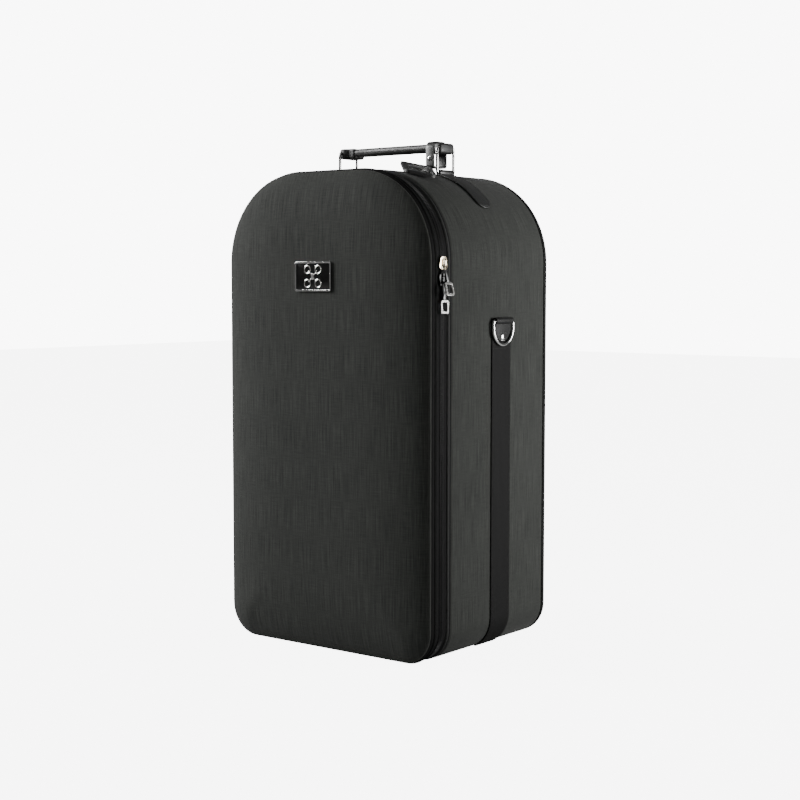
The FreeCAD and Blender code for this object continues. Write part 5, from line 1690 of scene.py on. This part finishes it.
@dataclass
class LuggageTag(Assembly):
    """The tag that lies on the shoulder and the strap that holds it to the grip."""

    x: float = 61 * MM
    strap: float = 12 * MM
    thick: float = 1.8 * MM
    hinge: tuple[float, float, float] = (50 * MM, -6 * MM, 568 * MM)
    heading: tuple[float, float, float] = (-48.0, 13.2, -11.0)
    length: float = 64 * MM
    width: float = 38 * MM
    body_thick: float = 3.6 * MM

    def stand(self) -> Matrix:
        """The tag's own frame: X along it, Y across it, Z out of its upper face."""
        yaw, pitch, roll = (math.radians(value) for value in self.heading)
        turn = Matrix.Rotation(yaw, 4, "Z") @ Matrix.Rotation(pitch, 4, "Y") @ Matrix.Rotation(roll, 4, "X")
        return Matrix.Translation(self.hinge) @ turn

    def build(self) -> None:
        """Builds every piece."""
        self.leather()
        self.loop_strap()

    def leather(self) -> None:
        """Builds the tag: two sewn leathers with a window over a blank card."""
        middle = 1.2 * MM + self.length / 2
        turned = Matrix.Rotation(-math.pi / 2, 4, "Z")
        base = Bench.plate("tag_base", self.width, self.length, self.body_thick, 7 * MM, 0, 8)
        with Bench.editing(base, "FACE"):
            Bench.choose(base, "faces", lambda spot: spot.z > self.body_thick * 0.99)
            bpy.ops.mesh.inset(thickness=6.4 * MM, depth=0)
            bpy.ops.mesh.inset(thickness=0.3 * MM, depth=-0.9 * MM)
        Bench.soften(base, 0.55 * MM, 3, 40)
        Bench.place(base, self.stand() @ Matrix.Translation((middle, 0, -self.body_thick / 2)) @ turned)
        self.dress(Bench.smooth(base, 35), TAG_LEATHER, Body.TAG, "tag_body")
        card = Bench.plate("tag_paper", self.width - 14 * MM, self.length - 16 * MM, 0.3 * MM, 1 * MM, 0)
        Bench.place(card, self.stand() @ Matrix.Translation((middle, 0, 0.95 * MM)) @ turned)
        self.dress(card, CARD, Body.TAG, "tag_card")
        pane = Bench.plate("tag_pane", self.width - 14 * MM, self.length - 16 * MM, 0.3 * MM, 1 * MM, 0.05 * MM)
        Bench.place(pane, self.stand() @ Matrix.Translation((middle, 0, 1.35 * MM)) @ turned)
        self.dress(pane, VINYL, Body.TAG, "tag_window")
        line = Bench.loop("tag_line", self.width - 5 * MM, self.length - 5 * MM, 5 * MM, 5 * MM, 8)
        Bench.place(line, self.stand() @ Matrix.Translation((middle, 0, self.body_thick / 2)) @ turned)
        self.dress(Bench.sew("tag_stitches", line, 2.8 * MM, 0.5 * MM), LEATHER_THREAD, Body.TAG)

    def loop_strap(self) -> None:
        """Builds the strap: a leather loop over the grip, a tongue to the tag and a snap."""
        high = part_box("tag_strap")[1]
        wide, tall = 26.4 * MM, high[2] - (588.591 - 22 - 1.8) * MM
        loop = Bench.loop("loop", wide - self.thick, tall - self.thick, 7 * MM, 3 * MM, 8)
        with Bench.editing(loop, "EDGE"):
            bpy.ops.mesh.select_all(action="SELECT")
            bpy.ops.mesh.extrude_region_move(TRANSFORM_OT_translate={"value": (0, 0, self.strap)})
            bpy.ops.mesh.select_all(action="SELECT")
            bpy.ops.mesh.normals_make_consistent(inside=False)
        Bench.apply(loop, "SOLIDIFY", thickness=self.thick, offset=0)
        Bench.soften(loop, 0.4 * MM)
        stand = Matrix.Translation((self.x - self.strap / 2, 20 * MM, high[2] - tall / 2))
        Bench.place(loop, stand @ SIDE_ON)
        tongue = Bench.plate("tongue", 5.6 * MM, self.strap, self.thick, 1 * MM, 0.4 * MM)
        Bench.place(tongue, self.stand() @ Matrix.Translation((-3.1 * MM, 11 * MM, -0.9 * MM)))
        strap = Bench.join("tag_loop_strap", loop, tongue)
        self.dress(Bench.smooth(strap), LEATHER, Body.TAG_LOOP, "tag_strap")
        snap = Bench.dome("tag_snap", 3.2 * MM, 0.35, (24, 12))
        Bench.place(snap, Matrix.Translation((self.x, (20 - 13.2) * MM, 576 * MM)) @ UPRIGHT)
        self.dress(Bench.smooth(snap), CHROME, Body.TAG_LOOP)


@dataclass
class Interior(Assembly):
    """The foam layers, with softened cut edges."""

    soften: float = 1.6 * MM

    def build(self) -> None:
        """Builds every piece."""
        for node, name in (("foam_front_layer", "foam_bays"), ("foam_rear_layer", "foam_middle"),
                           ("foam_base", "foam_back")):
            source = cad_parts[node]
            piece = source.copy()
            piece.data = source.data.copy()
            bpy.context.scene.collection.objects.link(piece)
            piece.parent = None
            piece.matrix_world = Matrix.Identity(4)
            piece.name = name
            for mark in [key for key in piece.keys() if key.startswith("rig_")]:
                del piece[mark]
            Bench.close(piece, 0.00005)
            Bench.apply(piece, "DECIMATE", decimate_type="DISSOLVE", angle_limit=math.radians(2))
            Bench.soften(piece, self.soften, 3, 55)
            self.dress(Bench.smooth(piece, 40), FOAM, Body.CASE, node)


# ---------------------------------------------------------------------------------------------
# Studio
# ---------------------------------------------------------------------------------------------
@dataclass
class Studio:
    """Camera, soft lights and a pale floor."""

    eye: tuple[float, float, float] = (1.1662, -1.4822, 0.4295)
    aim: tuple[float, float, float] = (0.0, 0.0, 0.2795)
    lens: float = 70.1
    shift: tuple[float, float] = (0.0181, 0.0086)
    ambient: float = 0.09
    backdrop: float = 9.0
    mirrored: float = 0.05
    paper_glow: float = 7.0

    def build(self) -> None:
        """Sets up the camera, the floor and the lights."""
        data = bpy.data.cameras.new("studio_camera")
        data.lens = self.lens
        data.sensor_width = 36.0
        data.shift_x, data.shift_y = self.shift
        data.clip_start, data.clip_end = 0.01, 50.0
        camera = bpy.data.objects.new("studio_camera", data)
        camera.location = self.eye
        camera.rotation_euler = (Vector(self.aim) - Vector(self.eye)).to_track_quat("-Z", "Y").to_euler()
        bpy.context.scene.collection.objects.link(camera)
        bpy.context.scene.camera = camera
        Bench.pick()
        bpy.ops.mesh.primitive_plane_add(size=14, location=(0, 0, 0))
        floor = Bench.take("floor")
        floor.data.materials.append(self.paper())
        self.sky()
        self.light("left_bank", (-2.3, -1.25, 1.5), (0, 0, 0.38), 1.1, 130)
        self.light("right_bank", (1.0, 0.5, 0.42), (0.12, 0, 0.4), 0.5, 17)
        self.light("top_bank", (-0.3, -1.0, 2.2), (0, 0, 0.55), 0.9, 7)

    def paper(self) -> bpy.types.Material:
        """The floor's white paper, lit up a little for the camera so that it reads as white."""
        paper = bpy.data.materials.new("floor_paper")
        paper.use_nodes = True
        canvas = Canvas(paper.node_tree)
        shader = paper.node_tree.nodes["Principled BSDF"]
        ray = canvas.add("ShaderNodeLightPath").outputs["Is Camera Ray"]
        canvas.set(shader, Base_Color=(0.35, 0.35, 0.35, 1), Roughness=0.9, Emission_Color=(1, 1, 1, 1),
                   Emission_Strength=canvas.times(ray, self.paper_glow))
        return paper

    def sky(self) -> None:
        """The white room: bright behind the case, dim as light on it."""
        world = bpy.data.worlds.new("studio_world")
        world.use_nodes = True
        canvas = Canvas(world.node_tree)
        rays = canvas.add("ShaderNodeLightPath")
        seen = canvas.ramp(rays.outputs["Is Camera Ray"], 0, 1, self.ambient, self.backdrop)
        mirrored = canvas.times(rays.outputs["Is Glossy Ray"], self.mirrored)
        background = world.node_tree.nodes["Background"]
        background.inputs[0].default_value = (1, 1, 1, 1)
        world.node_tree.links.new(canvas.plus(seen, mirrored), background.inputs[1])
        bpy.context.scene.world = world

    @staticmethod
    def light(name: str, spot: tuple[float, float, float], aim: tuple[float, float, float], size: float,
              power: float) -> None:
        """Adds a square soft light.

        Args:
            name: Its name.
            spot: Where it stands.
            aim: Where it points.
            size: Its side.
            power: Its power in watts.
        """
        data = bpy.data.lights.new(name, "AREA")
        data.shape = "SQUARE"
        data.size = size
        data.energy = power
        lamp = bpy.data.objects.new(name, data)
        lamp.location = spot
        lamp.rotation_euler = (Vector(aim) - Vector(spot)).to_track_quat("-Z", "Y").to_euler()
        bpy.context.scene.collection.objects.link(lamp)


def main() -> None:
    """Builds the studio and every sub-assembly."""
    logging.basicConfig(level=logging.INFO, format="%(message)s")
    Studio().build()
    upper = Slider(name="upper")
    lower = Slider(name="lower", finish=BLACK_SLIDER, body=Body.SLIDER_LOWER, pull_body=Body.PULL_LOWER, nose=1,
                   lean=0.0)
    groups: list[Assembly] = [Tub(), Lid(), Zip(), NamePlate(), upper, lower, SideStrap(side=Side.RIGHT),
                              SideStrap(side=Side.LEFT), Handle(), LuggageTag(), Interior()]
    for group in groups:
        group.build()
        LOG.info("%s: %d pieces", type(group).__name__, group.count)


if __name__ == "__main__":
    main()
